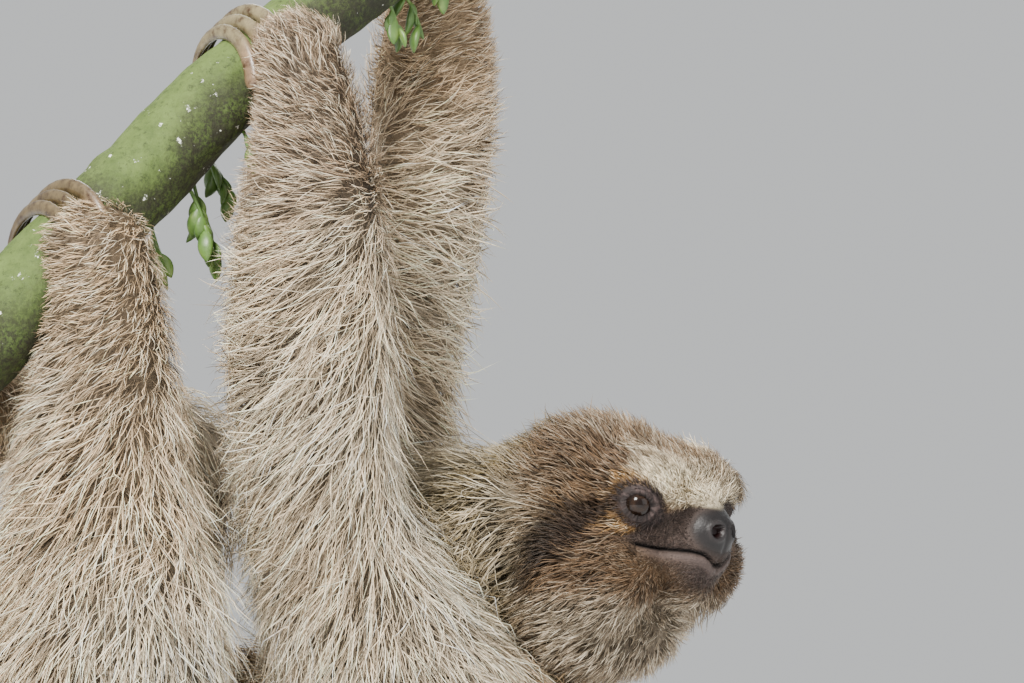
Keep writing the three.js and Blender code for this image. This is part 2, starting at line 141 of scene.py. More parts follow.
# The dark skin of nose and muzzle reaches from BARE_LOW to BARE_TOP, by distance from the middle.
BARE_Y = millimetres(0, 6.5, 13, 20, 22, 24, 29, 34)
BARE_TOP = millimetres(17.0, 19.0, 19.0, 17.0, 14.0, 10.7, 7.0, 4.0)
BARE_LOW = millimetres(-15, -14, -11, -8, -7, -6, -3, 0.0)


def rise(value, low, high):
    """Nothing up to low, one from high on, and a soft slope between."""
    share = np.clip((value - low) / (high - low), 0.0, 1.0)
    return share * share * (3 - 2 * share)


def fall(value, low, high):
    """One up to low, nothing from high on, and a soft slope between."""
    return 1 - rise(value, low, high)


def bell(value, width):
    """One where the value is nothing, falling away to both sides over the width."""
    return np.exp(-((value / width) ** 2))


def unit(vectors):
    return vectors / np.maximum(np.linalg.norm(vectors, axis=-1, keepdims=True), 1e-12)


def smooth_rows(rows, spans):
    """The rows with `spans` steps between neighbours, on a curve through all of them."""
    rows = np.array(rows, float)
    padded = np.vstack([2 * rows[0] - rows[1], rows, 2 * rows[-1] - rows[-2]])
    out = []
    for i in range(len(rows) - 1):
        a, b, c, d = padded[i : i + 4]
        for s in np.arange(spans) / spans:
            out.append(0.5 * (2 * b + (c - a) * s + (2 * a - 5 * b + 4 * c - d) * s**2
                              + (3 * b - a - 3 * c + d) * s**3))
    return np.array([*out, rows[-1]])


class BodyLength:
    """One rounded length of the body, with its centre line, radius and coat depth."""

    def __init__(self, name, stations):
        self.rows = smooth_rows(stations, 3) * MM
        self.start = self.rows[:-1]
        self.step = np.diff(self.rows, axis=0)
        self.flatness = TRUNK_FLATNESS if name == "trunk" else 1.0
        walk = np.concatenate([[0], np.cumsum(np.linalg.norm(self.step[:, :3], axis=1))])
        self.share = walk / walk[-1]

    def measure(self, points):
        """Distance outside the coat, direction away, coat depth and share along."""
        if self.flatness != 1.0:
            middle = TRUNK_MIDDLE_Y * MM
            points = points.copy()
            points[:, 1] = middle + (points[:, 1] - middle) / self.flatness
        start, step = self.start[:, :3], self.step[:, :3]
        gap = points[:, None] - start
        t = np.clip((gap * step).sum(-1) / (step**2).sum(-1), 0, 1)
        away = gap - t[..., None] * step
        reach = np.linalg.norm(away, axis=-1)
        distance = reach - (self.start[:, 3] + t * self.step[:, 3])
        best = distance.argmin(1)
        pick = np.arange(len(points))
        t, reach = t[pick, best], reach[pick, best]
        depth = self.start[best, 4] + t * self.step[best, 4]
        share = self.share[best] + t * np.diff(self.share)[best]
        direction = away[pick, best] / np.maximum(reach, 1e-9)[:, None]
        return distance[pick, best], direction, depth, share


LENGTHS = [BodyLength(*item) for item in BODY_LENGTHS.items()]


def of_length(values, name):
    """The column of weights or shares that belongs to one length."""
    return values[:, LENGTH_NAMES.index(name)]


_cy, _sy, _cp, _sp = (part(angle) for angle in (HEAD_YAW, HEAD_PITCH)
                      for part in (math.cos, math.sin))
HEAD_TURN = np.array([[_cy, -_sy, 0], [_sy, _cy, 0], [0, 0, 1]]) @ np.array(
    [[_cp, 0, _sp], [0, 1, 0], [-_sp, 0, _cp]])


def head_local(points):
    return (points - HEAD_CENTRE) @ HEAD_TURN


def head_world(points):
    return points @ HEAD_TURN.T + HEAD_CENTRE


def mirrored(local):
    """The head's points folded on to its left side."""
    out = local.copy()
    out[:, 1] = np.abs(out[:, 1])
    return out


def folded_head(points):
    return mirrored(head_local(points))


def pair_middle(part):
    """The middle of a pair of the head's nodes, folded on to its left side."""
    left, right = (head_local(np.mean(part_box(f"{part}_{side}"), axis=0)[None])[0]
                   for side in ("left", "right"))
    return (left + right * (1, -1, 1)) / 2


LEFT_EYE = pair_middle("eye") + EYE_SHIFT
LEFT_EAR = pair_middle("ear")
GAZE = unit(np.array((0.69, 0.70, 0.16)))
_level = unit(np.cross((0, 0, 1), GAZE))
GAZE_ACROSS = math.cos(LID_TILT) * _level + math.sin(LID_TILT) * np.cross(GAZE, _level)
GAZE_UP = np.cross(GAZE, GAZE_ACROSS)
EYE_MIDDLE = LEFT_EYE - GAZE * EYE_SUNK


def eye_frame(folded):
    """Along, across and up from the eye's middle, and the distance, on the folded head."""
    gap = folded - EYE_MIDDLE
    return gap @ GAZE, gap @ GAZE_ACROSS, gap @ GAZE_UP, np.linalg.norm(gap, axis=1)


def ellipsoid_level(local, centre, half):
    """About the distance outside an ellipsoid, and the direction away from it."""
    scaled = (local - centre) / half
    near = np.linalg.norm(scaled, axis=1)
    slope = scaled / half
    size = np.maximum(np.linalg.norm(slope, axis=1), 1e-9)
    return near * (near - 1) / size, slope / size[:, None]


def soft_union(levels, directions, blend):
    """The levels run together softly: the joint level, direction and each one's weight."""
    levels = np.stack(levels, axis=1)
    least = levels.min(1, keepdims=True)
    weights = np.exp(-(levels - least) / blend)
    total = weights.sum(1, keepdims=True)
    weights /= total
    level = least[:, 0] - blend * np.log(total[:, 0])
    direction = (weights[..., None] * np.stack(directions, axis=1)).sum(1)
    return level, unit(direction), weights


def soft_max(a, b, blend):
    return -soft_union([-a, -b], [np.zeros((len(a), 3))] * 2, blend)[0]


def soft_min(a, b, blend):
    return -soft_max(-a, -b, blend)


def head_depth(local):
    """How deep the coat lies over the skin of the head, thinnest round the eyes."""
    x, _, z = (local / MM).T
    face = rise(x + 0.25 * z, 14, 36)
    muzzle = rise(x - 0.55 * np.abs(z - 2), 26, 36)
    brow = rise(z, 16, 26) * rise(x, 5, 25)
    depth = 8.5 - 4.7 * face + 1.2 * brow
    depth = depth * (1 - muzzle) + 1.1 * muzzle
    near_eye = bell(eye_frame(mirrored(local))[3], 11 * MM)
    return (depth + (1.3 - depth) * near_eye) * MM


def head_measure(points):
    """What a body length measures, for the head, which has no share along it."""
    local = head_local(points)
    levels, directions = zip(*[
        ellipsoid_level(local, np.array(at) * MM, np.array(half) * MM)
        for at, half in HEAD_MASSES])
    level, direction, _ = soft_union(levels, directions, HEAD_BLEND)
    return level, direction @ HEAD_TURN.T, head_depth(local), np.zeros(len(points))


def skin_height(points, chunk=30000):
    """Height over the skin, direction away, coat depth, weights and shares by length."""
    results = []
    for first in range(0, len(points), chunk):
        part = points[first : first + chunk]
        measures = [length.measure(part) for length in LENGTHS] + [head_measure(part)]
        distances, directions, depths, shares = zip(*measures)
        levels = [distance + depth for distance, depth in zip(distances, depths)]
        height, direction, weights = soft_union(levels, directions, FLESH_BLEND)
        depth = (weights * np.stack(depths, axis=1)).sum(1)
        results.append((height, direction, depth, weights, np.stack(shares, axis=1)))
    return [np.concatenate(column) for column in zip(*results)]


def lid_gap(across, up):
    """Distance outside the opening between the lids, an almond between two arches."""
    arches = []
    for height, turn in zip(LID_HEIGHTS, (1, -1)):
        radius = (LID_HALF_WIDTH**2 + height**2) / (2 * height)
        arches.append(np.hypot(across, up * turn + (radius - height)) - radius)
    return soft_max(*arches, 0.35 * MM)


def mouth_gap(local):
    """How far above the line of the mouth a point lies, and how much of it is there."""
    side = np.abs(local[:, 1])
    there = fall(side, 29 * MM, 34 * MM) * rise(local[:, 0], 26 * MM, 33 * MM)
    return local[:, 2] - np.interp(side, MOUTH_Y, MOUTH_Z), there


def nostril_reach(folded):
    """Distance from the line on which a nostril opens, and one on the front of the nose."""
    pit = folded - NOSTRIL
    aside = -pit[:, 0] * math.sin(NOSTRIL_TURN) + pit[:, 1] * math.cos(NOSTRIL_TURN)
    return np.hypot(aside, pit[:, 2]), rise(folded[:, 0], 46 * MM, 48 * MM)


def face_height(points, height):
    """The skin's height with lids, eye openings, nose pad, nostrils and mouth added."""
    local = head_local(points)
    folded = mirrored(local)
    along, across, up, reach = eye_frame(folded)
    height = soft_min(height, reach - (EYE_RADIUS + LID_THICKNESS), LID_BLEND)
    fold = np.hypot(across / 1.18, up) - FOLD_RADIUS
    above = rise(up, -0.5 * MM, 2.0 * MM)
    height = height + FOLD_HEIGHT * bell(fold, 0.45 * MM) * above * (along > 0)
    carve = soft_max(lid_gap(across, up), LID_OPENING - reach, 0.2 * MM)
    carve = np.where(along > -1 * MM, carve, 1.0)
    height = soft_min(height, ellipsoid_level(local, NOSE_CENTRE, NOSE_HALF)[0], NOSE_BLEND)
    groove = bell(local[:, 1], 1.1 * MM) * rise(local[:, 0], 45 * MM, 52 * MM)
    height = height + LIP_CLEFT * groove * fall(local[:, 2], 8 * MM, 13 * MM)
    gap, there = mouth_gap(local)
    height = height - LIP_SWELL * (bell(gap + 3.2 * MM, 2.2 * MM) * there)
    height = height + MOUTH_DEPTH * bell(gap, MOUTH_WIDTH) * there
    hole, front = nostril_reach(folded)
    rim = bell(hole - 3.4 * MM, 0.9 * MM)
    dent = fall(hole, 1.5 * MM, 2.7 * MM)
    height = height + (NOSTRIL_DEPTH * dent - NOSTRIL_RIM * rim) * front
    return soft_max(height, -carve, 0.3 * MM)


def eared(points, height):
    """The skin's height with the ears, which barely stand out of the coat."""
    ear, _ = ellipsoid_level(folded_head(points), LEFT_EAR, EAR_HALF)
    return soft_min(height, ear, EAR_BLEND)


def plain_height(points):
    height, direction, *_ = skin_height(points)
    return eared(points, height), direction


def detailed_height(points):
    height, direction, *_ = skin_height(points)
    return eared(points, face_height(points, height)), direction


# ------------------------------------------------------------------ meshes

def in_scene(name, data):
    piece = bpy.data.objects.new(name, data)
    bpy.context.scene.collection.objects.link(piece)
    return piece


def shade_smooth(mesh):
    mesh.polygons.foreach_set("use_smooth", np.ones(len(mesh.polygons), bool))


def mesh_object(name, points, faces):
    mesh = bpy.data.meshes.new(name)
    mesh.from_pydata([tuple(p) for p in points], [], [tuple(f) for f in faces])
    mesh.validate()
    shade_smooth(mesh)
    return in_scene(name, mesh)


def face_outwards(mesh):
    bm = bmesh.new()
    bm.from_mesh(mesh)
    bmesh.ops.recalc_face_normals(bm, faces=bm.faces)
    bm.to_mesh(mesh)
    bm.free()


def joined(parts):
    """Points and faces of several meshes as one."""
    points, faces = [], []
    for more_points, more_faces in parts:
        offset = sum(map(len, points))
        points.append(np.asarray(more_points))
        faces.extend(tuple(i + offset for i in face) for face in more_faces)
    return np.vstack(points), faces


def rings_mesh(rings, start, end):
    """Points and faces of a closed skin over rings of equal count, between two poles."""
    count, sides = rings.shape[:2]
    points = np.vstack([[start], rings.reshape(-1, 3), [end]])
    at = 1 + np.arange(count * sides).reshape(count, sides)
    faces = []
    for side in range(sides):
        after = (side + 1) % sides
        faces.append((0, at[0, after], at[0, side]))
        faces.append((len(points) - 1, at[-1, side], at[-1, after]))
        for ring in range(count - 1):
            faces.append((at[ring, side], at[ring, after], at[ring + 1, after], at[ring + 1, side]))
    return points, faces


def tube_mesh(rows, sides, across=(0, 1, 0), flatten=1.0, domes=2, shape=None):
    """Points and faces of a round body over rows of (x, y, z, radius), domed or flat ended."""
    rows = np.asarray(rows, float)
    centres, radii = rows[:, :3], rows[:, 3]
    tangents = unit(np.gradient(centres, axis=0))
    first = unit(np.array(across) - tangents * (tangents @ np.array(across))[:, None])
    second = np.cross(tangents, first)
    angles = 2 * np.pi * np.arange(sides) / sides
    wave = np.ones((len(rows), sides)) if shape is None else shape(len(rows), angles)

    def ring(i, centre, scale):
        out = np.cos(angles)[:, None] * first[i] * flatten + np.sin(angles)[:, None] * second[i]
        return centre + out * (radii[i] * scale * wave[i])[:, None]

    rings = [ring(i, centres[i], 1.0) for i in range(len(rows))]
    for dome in range(domes):
        angle = (dome + 1) / (domes + 1) * math.pi / 2
        reach, scale = math.sin(angle), math.cos(angle)
        rings.insert(0, ring(0, centres[0] - tangents[0] * radii[0] * reach, scale))
        rings.append(ring(-1, centres[-1] + tangents[-1] * radii[-1] * reach, scale))
    reach = 1.0 if domes else 0.0
    return rings_mesh(np.array(rings), centres[0] - tangents[0] * radii[0] * reach,
                      centres[-1] + tangents[-1] * radii[-1] * reach)


def vertex_array(mesh):
    out = np.empty(len(mesh.vertices) * 3)
    mesh.vertices.foreach_get("co", out)
    return out.reshape(-1, 3)


def paint_points(mesh, name, colours):
    """Stores one colour for each vertex, as the named attribute."""
    layer = mesh.color_attributes.new(name, "FLOAT_COLOR", "POINT")
    rgba = np.ones((len(colours), 4), np.float32)
    rgba[:, :3] = colours
    layer.data.foreach_set("color", rgba.ravel())


def finished(piece, slot, replaced, *materials):
    """Gives a piece its materials and its place in the frame."""
    for material in materials:
        piece.data.materials.append(material)
    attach(piece, ROOT)
    if replaced:
        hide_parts(*replaced)


# ------------------------------------------------------------------ markings

def paint(red, green, blue):
    """A screen colour from 0 to 255, as linear light."""
    share = np.array((red, green, blue)) / 255
    return np.where(share <= 0.04045, share / 12.92, ((share + 0.055) / 1.055) ** 2.4)


COAT_PAINTS = {name: paint(*colour) for name, colour in {
    "cream": (246, 228, 198), "tan": (200, 168, 128), "earth": (138, 108, 78),
    "grey_tan": (208, 188, 156), "olive": (130, 114, 78), "head_brown": (100, 77, 54),
    "stripe": (42, 30, 23), "pale_brow": (218, 202, 170), "gold": (168, 126, 70),
    "eye_patch": (40, 31, 29), "muzzle": (64, 52, 46), "nose": (24, 21, 21),
    "throat": (166, 150, 127), "alga": (132, 128, 82)}.items()}
# The mouth's near-black line is painted shade in the crease between the lips.
# The nostrils' dark colour is painted shade in their holes.
# The pale lower-lid colour is a painted glint of light on the wet rim of the lid.
MOUTH_SHADE, LID_EDGE, LID_GLINT, NOSTRIL_SHADE = (
    paint(*colour) for colour in ((8, 5, 5), (14, 8, 8), (150, 140, 142), (30, 9, 9)))
WRIST = (0.68, 0.85)  # share along a limb where its darker wrist or ankle begins


def mix(a, b, share):
    share = np.asarray(share)[:, None]
    return a * (1 - share) + b * share


def ripple(points, scale, seed):
    """Smooth random values from about -1 to 1 that vary over `scale` metres."""
    rng = np.random.default_rng(seed)
    total = np.zeros(len(points))
    for _ in range(7):
        wave = rng.normal(size=3) / scale * 1.6
        total += np.sin(points @ wave + rng.uniform(0, 6.28))
    return total / 3.2


def spot(values, centre, half):
    """One inside a soft ellipsoid of the given half sizes, falling to nothing outside it."""
    reach = np.linalg.norm((values - np.array(centre)) / np.array(half), axis=1)
    return fall(reach, 0.75, 1.2)


def bare_patch(folded, wander):
    """One on the dark skin of nose, muzzle and lips, on the folded head."""
    x, y, z = folded.T
    top = np.interp(y, BARE_Y, BARE_TOP)
    low = np.interp(y, BARE_Y, BARE_LOW)
    inside = rise(top - z + wander * 0.4 * MM, -0.8 * MM, 1.2 * MM)
    inside = inside * rise(z - low + wander * 0.9 * MM, -3 * MM, 8 * MM)
    return inside * rise(x, 28 * MM, 32 * MM) * fall(y, 33 * MM, 36 * MM)


def head_markings(points, p):
    """Colour of the head's coat or skin at each point."""
    local = head_local(points)
    folded = mirrored(local)
    spots = folded / MM
    x, _, z = spots.T
    wander = ripple(points, 9 * MM, 5) * 2.2
    colour = mix(p["head_brown"], p["olive"] * 0.8, rise(-x, 12, 34))

    def lay(tone, share):
        nonlocal colour
        colour = mix(colour, tone, share)

    lay(p["grey_tan"], rise(z + wander, 30, 44) * rise(x, -30, -10) * 0.22)
    lay(p["throat"], rise(-z + wander, 12, 24) * rise(x, -14, 8) * 0.85)
    brow = rise(z + 0.5 * x + wander, 36, 44) * rise(x + wander, 24, 36)
    brow = brow * rise(z + wander * 0.5, 13, 19) * (1 - 0.6 * rise(z, 27, 36))
    far = rise(local[:, 1] / MM + wander, -1, 10)
    lay(p["pale_brow"], brow * (1 - far * (0.35 + 0.45 * rise(z, 20, 28))) * 0.95)
    lay(p["pale_brow"], spot(spots, (25, 19, 39), (9, 8, 6)) * 0.5)
    lay(p["gold"], spot(spots, (31, 33, 23.5), (9, 9, 5)) * 0.75)
    lay(p["gold"] * 0.9, spot(spots, (24, 35, 14), (6, 9, 9)) * 0.7)
    lay(p["gold"] * 0.9, spot(spots, (33, 31, 8.5), (8, 9, 3.5)) * 0.8)
    gap = z + wander * 0.6 - (12 + (x - 24) * 0.72)
    lay(p["stripe"], fall(np.abs(gap), 6, 13) * rise(28 - x, 0, 6) * fall(-x, 22, 34) * 0.92)
    lay(p["stripe"] * 1.3, spot(spots, (-20, 40, 4), (9, 14, 11)) * 0.7)
    lay(p["muzzle"], bare_patch(folded, wander * 1.5))
    lip, there = mouth_gap(folded)
    below = rise(-lip / MM, 0.5, 2.5) * there
    lay(p["muzzle"] * (1.8, 1.95, 2.2), below * bare_patch(folded, wander) * 0.6)
    # painted shade along the mouth's line
    lay(MOUTH_SHADE, bell(lip, 0.8 * MM) * there)
    along, across, up, _ = eye_frame(folded)
    patch = fall(np.hypot((across + 0.8 * MM) / 1.3, up) / MM + wander * 0.2, 6.8, 9.0)
    lay(p["eye_patch"], patch * (along > -4 * MM))
    edge = lid_gap(across, up) / MM
    ahead = along > 0
    creases = np.clip(ripple(points, 1.1 * MM, 8), 0, 1) * patch * (edge > 0.5)
    lay(p["eye_patch"] * 3.6, creases * 0.6 * ahead)
    lay(LID_EDGE, bell(edge - 0.1, 0.4) * ahead)
    # painted glint along the lower lid's wet rim
    lay(LID_GLINT, bell(edge - 0.85, 0.3) * fall(up / MM, -1.5, 0.5) * ahead * 0.6)
    nose, _ = ellipsoid_level(folded, NOSE_CENTRE, NOSE_HALF)
    lay(p["nose"], fall(nose + wander * 0.2 * MM, 1.0 * MM, 3.8 * MM))
    hole, front = nostril_reach(folded)
    lay(p["nose"] * 3.2, bell(hole / MM - 3.5, 0.8) * front * 0.5)
    # painted shade inside the nostrils
    lay(NOSTRIL_SHADE, fall(hole / MM, 1.8, 2.6) * front)
    return colour


def body_markings(points, weights, shares, p):
    """Colour of the coat at each point of the body, and on the head its own markings."""
    weight, along = (dict(zip(LENGTH_NAMES, values.T)) for values in (weights, shares))
    broad = ripple(points, 34 * MM, 11)[:, None] * 0.5 + 0.5
    fine = ripple(points, 9 * MM, 12)[:, None] * 0.5 + 0.5
    colours = {
        "trunk": p["earth"] * (1 - broad) + p["tan"] * broad,
        "neck": p["olive"] * (1 - fine * 0.4) + p["cream"] * 0.35 * fine,
        "tail": p["earth"] * (1 - fine) + p["tan"] * fine,
    }
    # The far arm's duller tan is raised by 1.3: partly its own paler, greyer coat, partly painted
    # light lifting it out of the shade in which it hangs.
    for limb, pale, dull in (
            ("arm_right", p["cream"], p["tan"]), ("arm_left", p["cream"], p["tan"] * 1.3),
            ("leg_right", p["cream"] * 1.05, p["tan"] * 1.35),
            ("leg_left", p["cream"], p["grey_tan"])):
        wrist = rise(along[limb] + (fine[:, 0] - 0.5) * 0.1, *WRIST)
        base = dull + (pale - dull) * (0.36 + 0.55 * broad)
        dark = p["earth"] * 1.1 if limb == "arm_right" else p["tan"] * 0.85
        colours[limb] = mix(base, dark, wrist * 0.75)
    colours["head"] = head_markings(points, p)
    total = sum(weight[name][:, None] * colours[name] for name in LENGTH_NAMES)
    green = rise(ripple(points, 45 * MM, 21), 0.35, 1.0) * weight["trunk"] * 0.3
    return mix(total, p["alga"], green)


# ------------------------------------------------------------------ skin

FLESH_NODES = ["trunk", "neck", "tail", "head", "nose", "ear_left", "ear_right"] + [
    f"{part}_{side}" for side in ("right", "left")
    for part in ("upper_arm", "forearm", "hand", "thigh", "shin", "foot")]
SKIN_PIXEL = 3.6 * MM  # size of the first even faces
HEAD_THINNED = 4.0  # how far under the head's masses its first rough shape lies, in mm
SETTLE_LIMIT = 5 * MM  # the furthest that a vertex moves toward the skin in one round
FACE_ROUNDS = 9  # of settling, for the finely shaped face
SKIN_SHADE = 0.42  # of the coat's colour, in the shade under it
FACE_LIGHTER, NEAR_DARKER = 0.3, 0.27


def raw_flesh():
    """One rough closed shape of overlapping lengths and masses, at the skin's depth."""
    parts = []
    for length in LENGTHS:
        rows = length.rows[:, :4].copy()
        rows[:, 3] -= length.rows[:, 4]
        parts.append(tube_mesh(rows, 20, flatten=length.flatness, domes=3))
    ball = bmesh.new()
    bmesh.ops.create_icosphere(ball, subdivisions=3, radius=1.0)
    ball_points = points_of(ball.verts)
    ball_faces = [[v.index for v in f.verts] for f in ball.faces]
    ball.free()
    for at, half in HEAD_MASSES:
        local = (np.array(at) + ball_points * (np.array(half) - HEAD_THINNED)) * MM
        parts.append((head_world(local), ball_faces))
    return mesh_object("sloth_skin", *joined(parts))


def evaluated(piece, modifier):
    """Leaves the piece with the mesh that its modifier makes, and takes the modifier off."""
    graph = bpy.context.evaluated_depsgraph_get()
    mesh = bpy.data.meshes.new_from_object(piece.evaluated_get(graph))
    piece.modifiers.remove(modifier)
    piece.data = mesh


def points_of(verts):
    return np.array([v.co[:] for v in verts])


def settle(verts, rounds):
    """Moves vertices on to the plain skin."""
    points = points_of(verts)
    for _ in range(rounds):
        height, direction = plain_height(points)
        points = points - direction * np.clip(height, -SETTLE_LIMIT, SETTLE_LIMIT)[:, None]
    for vert, co in zip(verts, points):
        vert.co = co


def relax(bm, verts, times):
    for _ in range(times):
        bmesh.ops.smooth_vert(bm, verts=verts, factor=0.5, use_axis_x=True, use_axis_y=True,
                              use_axis_z=True)


def split_near(bm, wanted):
    """Halves the edges of the faces whose middles are wanted."""
    chosen = wanted(np.array([f.calc_center_median()[:] for f in bm.faces]))
    edges = {e for f, yes in zip(bm.faces, chosen) if yes for e in f.edges}
    bmesh.ops.subdivide_edges(bm, edges=list(edges), cuts=1, use_grid_fill=True, smooth=0.3)


def slope_of(points, height_of, step=0.12 * MM):
    """A height, and the direction in which it grows fastest, by small steps."""
    here = height_of(points)
    slopes = [(height_of(points + np.eye(3)[axis] * step) - here) / step for axis in range(3)]
    return here, np.stack(slopes, axis=1)


def face_settled(points, rounds):
    """Head points moved on to the detailed skin: straight in, and by its slopes at the lids."""
    lids = eye_frame(folded_head(points))[3] < LID_REACH
    for _ in range(rounds):
        height, direction = detailed_height(points[~lids])
        points[~lids] -= direction * np.clip(height, -MM, MM)[:, None] * 0.7
        here, slope = slope_of(points[lids], lambda p: detailed_height(p)[0])
        size = np.maximum(np.linalg.norm(slope, axis=1), 0.35)
        move = np.clip(here / size, -0.7 * MM, 0.7 * MM) * 0.8
        points[lids] -= slope / size[:, None] * move[:, None]
    return points


def in_head(points):
    local = head_local(points) / MM
    return (np.linalg.norm(local / HEAD_REACH, axis=1) < 1) & (local[:, 0] > -60)


def near_face(points):
    x, _, z = (folded_head(points) / MM).T
    return in_head(points) & (x > 20) & (z > -24) & (z < 34)


def near_features(points):
    local = folded_head(points) / MM
    x, y, z = local.T
    eye = np.linalg.norm(local - LEFT_EYE / MM, axis=1) < 11.5
    muzzle = (x > 41) & (z < 19) & (z > -9) & (y < 18)
    mouth = (np.abs(mouth_gap(local * MM)[0]) < 3 * MM) & (x > 31) & (y < 36)
    return in_head(points) & (eye | muzzle | mouth)


def build_skin_mesh(fine):
    """An even skin over the whole body, with smaller faces on the head and its features."""
    piece = raw_flesh()
    modifier = piece.modifiers.new("even", "REMESH")
    modifier.mode = "VOXEL"
    modifier.voxel_size = SKIN_PIXEL
    evaluated(piece, modifier)
    bm = bmesh.new()
    bm.from_mesh(piece.data)
    settle(bm.verts[:], 3)
    relax(bm, bm.verts[:], 3)
    settle(bm.verts[:], 2)
    split_near(bm, in_head)
    if fine:
        split_near(bm, near_face)
    head = [v for v in bm.verts if in_head(points_of([v]))[0]]
    relax(bm, head, 2)
    settle(head, 2)
    if fine:
        split_near(bm, near_features)
    detail = np.flatnonzero(near_face(points_of(bm.verts)))
    bmesh.ops.recalc_face_normals(bm, faces=bm.faces)
    bm.to_mesh(piece.data)
    bm.free()
    points = vertex_array(piece.data)
    points[detail] = face_settled(points[detail], FACE_ROUNDS)
    piece.data.vertices.foreach_set("co", points.ravel())
    piece.data.update()
    shade_smooth(piece.data)
    return piece


def paint_skin(piece, settings):
    """Colours the skin as the coat over it, in shade, and as bare skin on lids and nose."""
    points = vertex_array(piece.data)
    _, _, _, weights, shares = skin_height(points)
    colours = body_markings(points, weights, shares, paints_of(settings))
    near = sum(of_length(weights, limb) for limb in CRISP_LIMBS)
    shade = np.where(weights[:, -1] > 0.5, SKIN_SHADE + FACE_LIGHTER * face_share(points),
                     SKIN_SHADE - NEAR_DARKER * near)
    dark = bare_patch(folded_head(points), 0.0)
    bare = np.maximum(bare_share(points), dark * 0.8) * weights[:, -1]
    paint_points(piece.data, "tint", colours * (shade * (1 - bare) + bare)[:, None])
    middles = np.empty(len(piece.data.polygons) * 3)
    piece.data.polygons.foreach_get("center", middles)
    nose, _ = ellipsoid_level(head_local(middles.reshape(-1, 3)), NOSE_CENTRE, NOSE_HALF)
    finished(piece, "coat", FLESH_NODES, skin_finish(), nose_finish())
    leather = (nose < NOSE_LEATHER).astype(np.int32)
    piece.data.polygons.foreach_set("material_index", leather)


# ------------------------------------------------------------------ coat

# Each coat piece grows from one length or the head: (name, length, tufts, length mm, width mm).
COAT_PLAN = [
    ("coat_arm_right_a", "arm_right", 12000, 33, 0.4),
    ("coat_arm_right_b", "arm_right", 6600, 38, 0.44),
    ("coat_arm_left", "arm_left", 9600, 32, 0.6),
    ("coat_leg_right_a", "leg_right", 12000, 32, 0.46),
    ("coat_leg_right_b", "leg_right", 4600, 37, 0.5),
    ("coat_leg_left", "leg_left", 4700, 29, 0.74),
    ("coat_trunk_a", "trunk", 3900, 40, 1.1),
    ("coat_trunk_b", "trunk", 3900, 34, 0.95),
    ("coat_neck", "neck", 4300, 30, 0.62),
    ("coat_tail", "tail", 800, 20, 0.95),
    ("coat_head", "head", 11800, 15, 0.46),
    ("coat_face", "head", 10800, 7.5, 0.32),
    ("coat_muzzle", "head", 8600, 2.7, 0.2),
]
LIMB_NAMES = ("arm_right", "arm_left", "leg_right", "leg_left")
KNOTS = 4  # points along a tuft, its root and tip among them
RINGS = KNOTS - 1
TAPER = (0.75, 1.0, 0.72)  # a tuft's width at each ring, over its full width
KNOT_LIFTS = (0.5, 0.82, 1.0)  # share of the coat's depth that a tuft reaches at later knots
ROOT_SUNK = 0.6 * MM
ROOM_ROUND_EYE = 3.5 * MM  # kept free of hair tips
LENGTH_SPREAD = (0.65, 1.2)  # a tuft's length and width, over its piece's usual ones
WIDTH_SPREAD = (0.6, 1.15)
WRIST_SHORTER, WRIST_DENSER = 0.7, 1.3
FACE_SHORTER = 0.35
FACE_DEPTH, MUZZLE_DEPTH = 2.6 * MM, 0.8 * MM
RUFF_LIFT, FRINGE_LIFT = 3.6 * MM, 2.6 * MM
FRINGE_LENGTHS = (6, 12)  # in mm
CLUMP_SIZE = 11  # tufts that lean together
CLUMP_REACH = 9 * MM
PATCH = 0.003  # width of a tuft's own place on the map
PALE_HAIR = paint(255, 243, 218)
# Soft hair, then the coarser hair of the near limbs: spread of tones, share of brown hairs and
# their tone, how much the palest are lifted, and a tuft's tones from its root to its tip, the
# root's darkness being painted shade deep in the coat as well as the hair's darker base.
SOFT_TONES = (0.26, 0.2, 0.52, 0.5, (0.34, 0.76, 1.08, 1.24))
CRISP_TONES = (0.36, 0.3, 0.36, 0.75, (0.18, 0.62, 1.12, 1.35))
CRISP_LIMBS = ("arm_right", "leg_right")
FRINGE = ((30, 27, 27), (9, 8, 5.5))  # centre and half sizes of the left brow's longer hair, mm
FRINGE_LIE = np.array((0.75, 0.5, -0.55))

# How the hair sweeps round the limbs: (height mm, degrees above level, more degrees at the
# edge toward the head), away from a whorl at the inner side of the right wrist.
ARM_SWEEP = np.array([(200, -76, -40), (235, -66, -35), (290, -48, -34), (345, -34, -38),
                      (385, -20, -36), (400, -8, -14), (410, 8, 14), (430, 26, 30),
                      (450, 48, 24)], float)
LEG_SWEEP = np.array([(200, -84, -8), (250, -72, -14), (300, -56, -24), (340, -40, -28),
                      (365, -26, -26), (380, -16, -14), (398, -4, 0)], float)
FAR_ARM_SWEEP = np.array([(230, -66, 0), (300, -44, 0), (350, -26, 0), (404, -4, 0),
                          (450, 22, 0), (500, 40, 0)], float)
# The swept limbs: x of the middle in mm, sweep, and which way round it goes.
SWEPT = {"arm_right": (20, ARM_SWEEP, -1), "arm_left": (52, FAR_ARM_SWEEP, 1),
         "leg_right": (-60, LEG_SWEEP, -1)}
STRAIGHT = {"leg_left": (-0.2, 0.1, -1), "trunk": (-0.45, 0, -1), "neck": (-0.8, 0.1, -0.55),
            "tail": (-0.8, 0, 0.5)}


def face_share(points):
    """One on the short-haired face, nothing on the rest of the head."""
    x, _, z = (folded_head(points) / MM).T
    return rise(x + 0.15 * z, 22, 36)


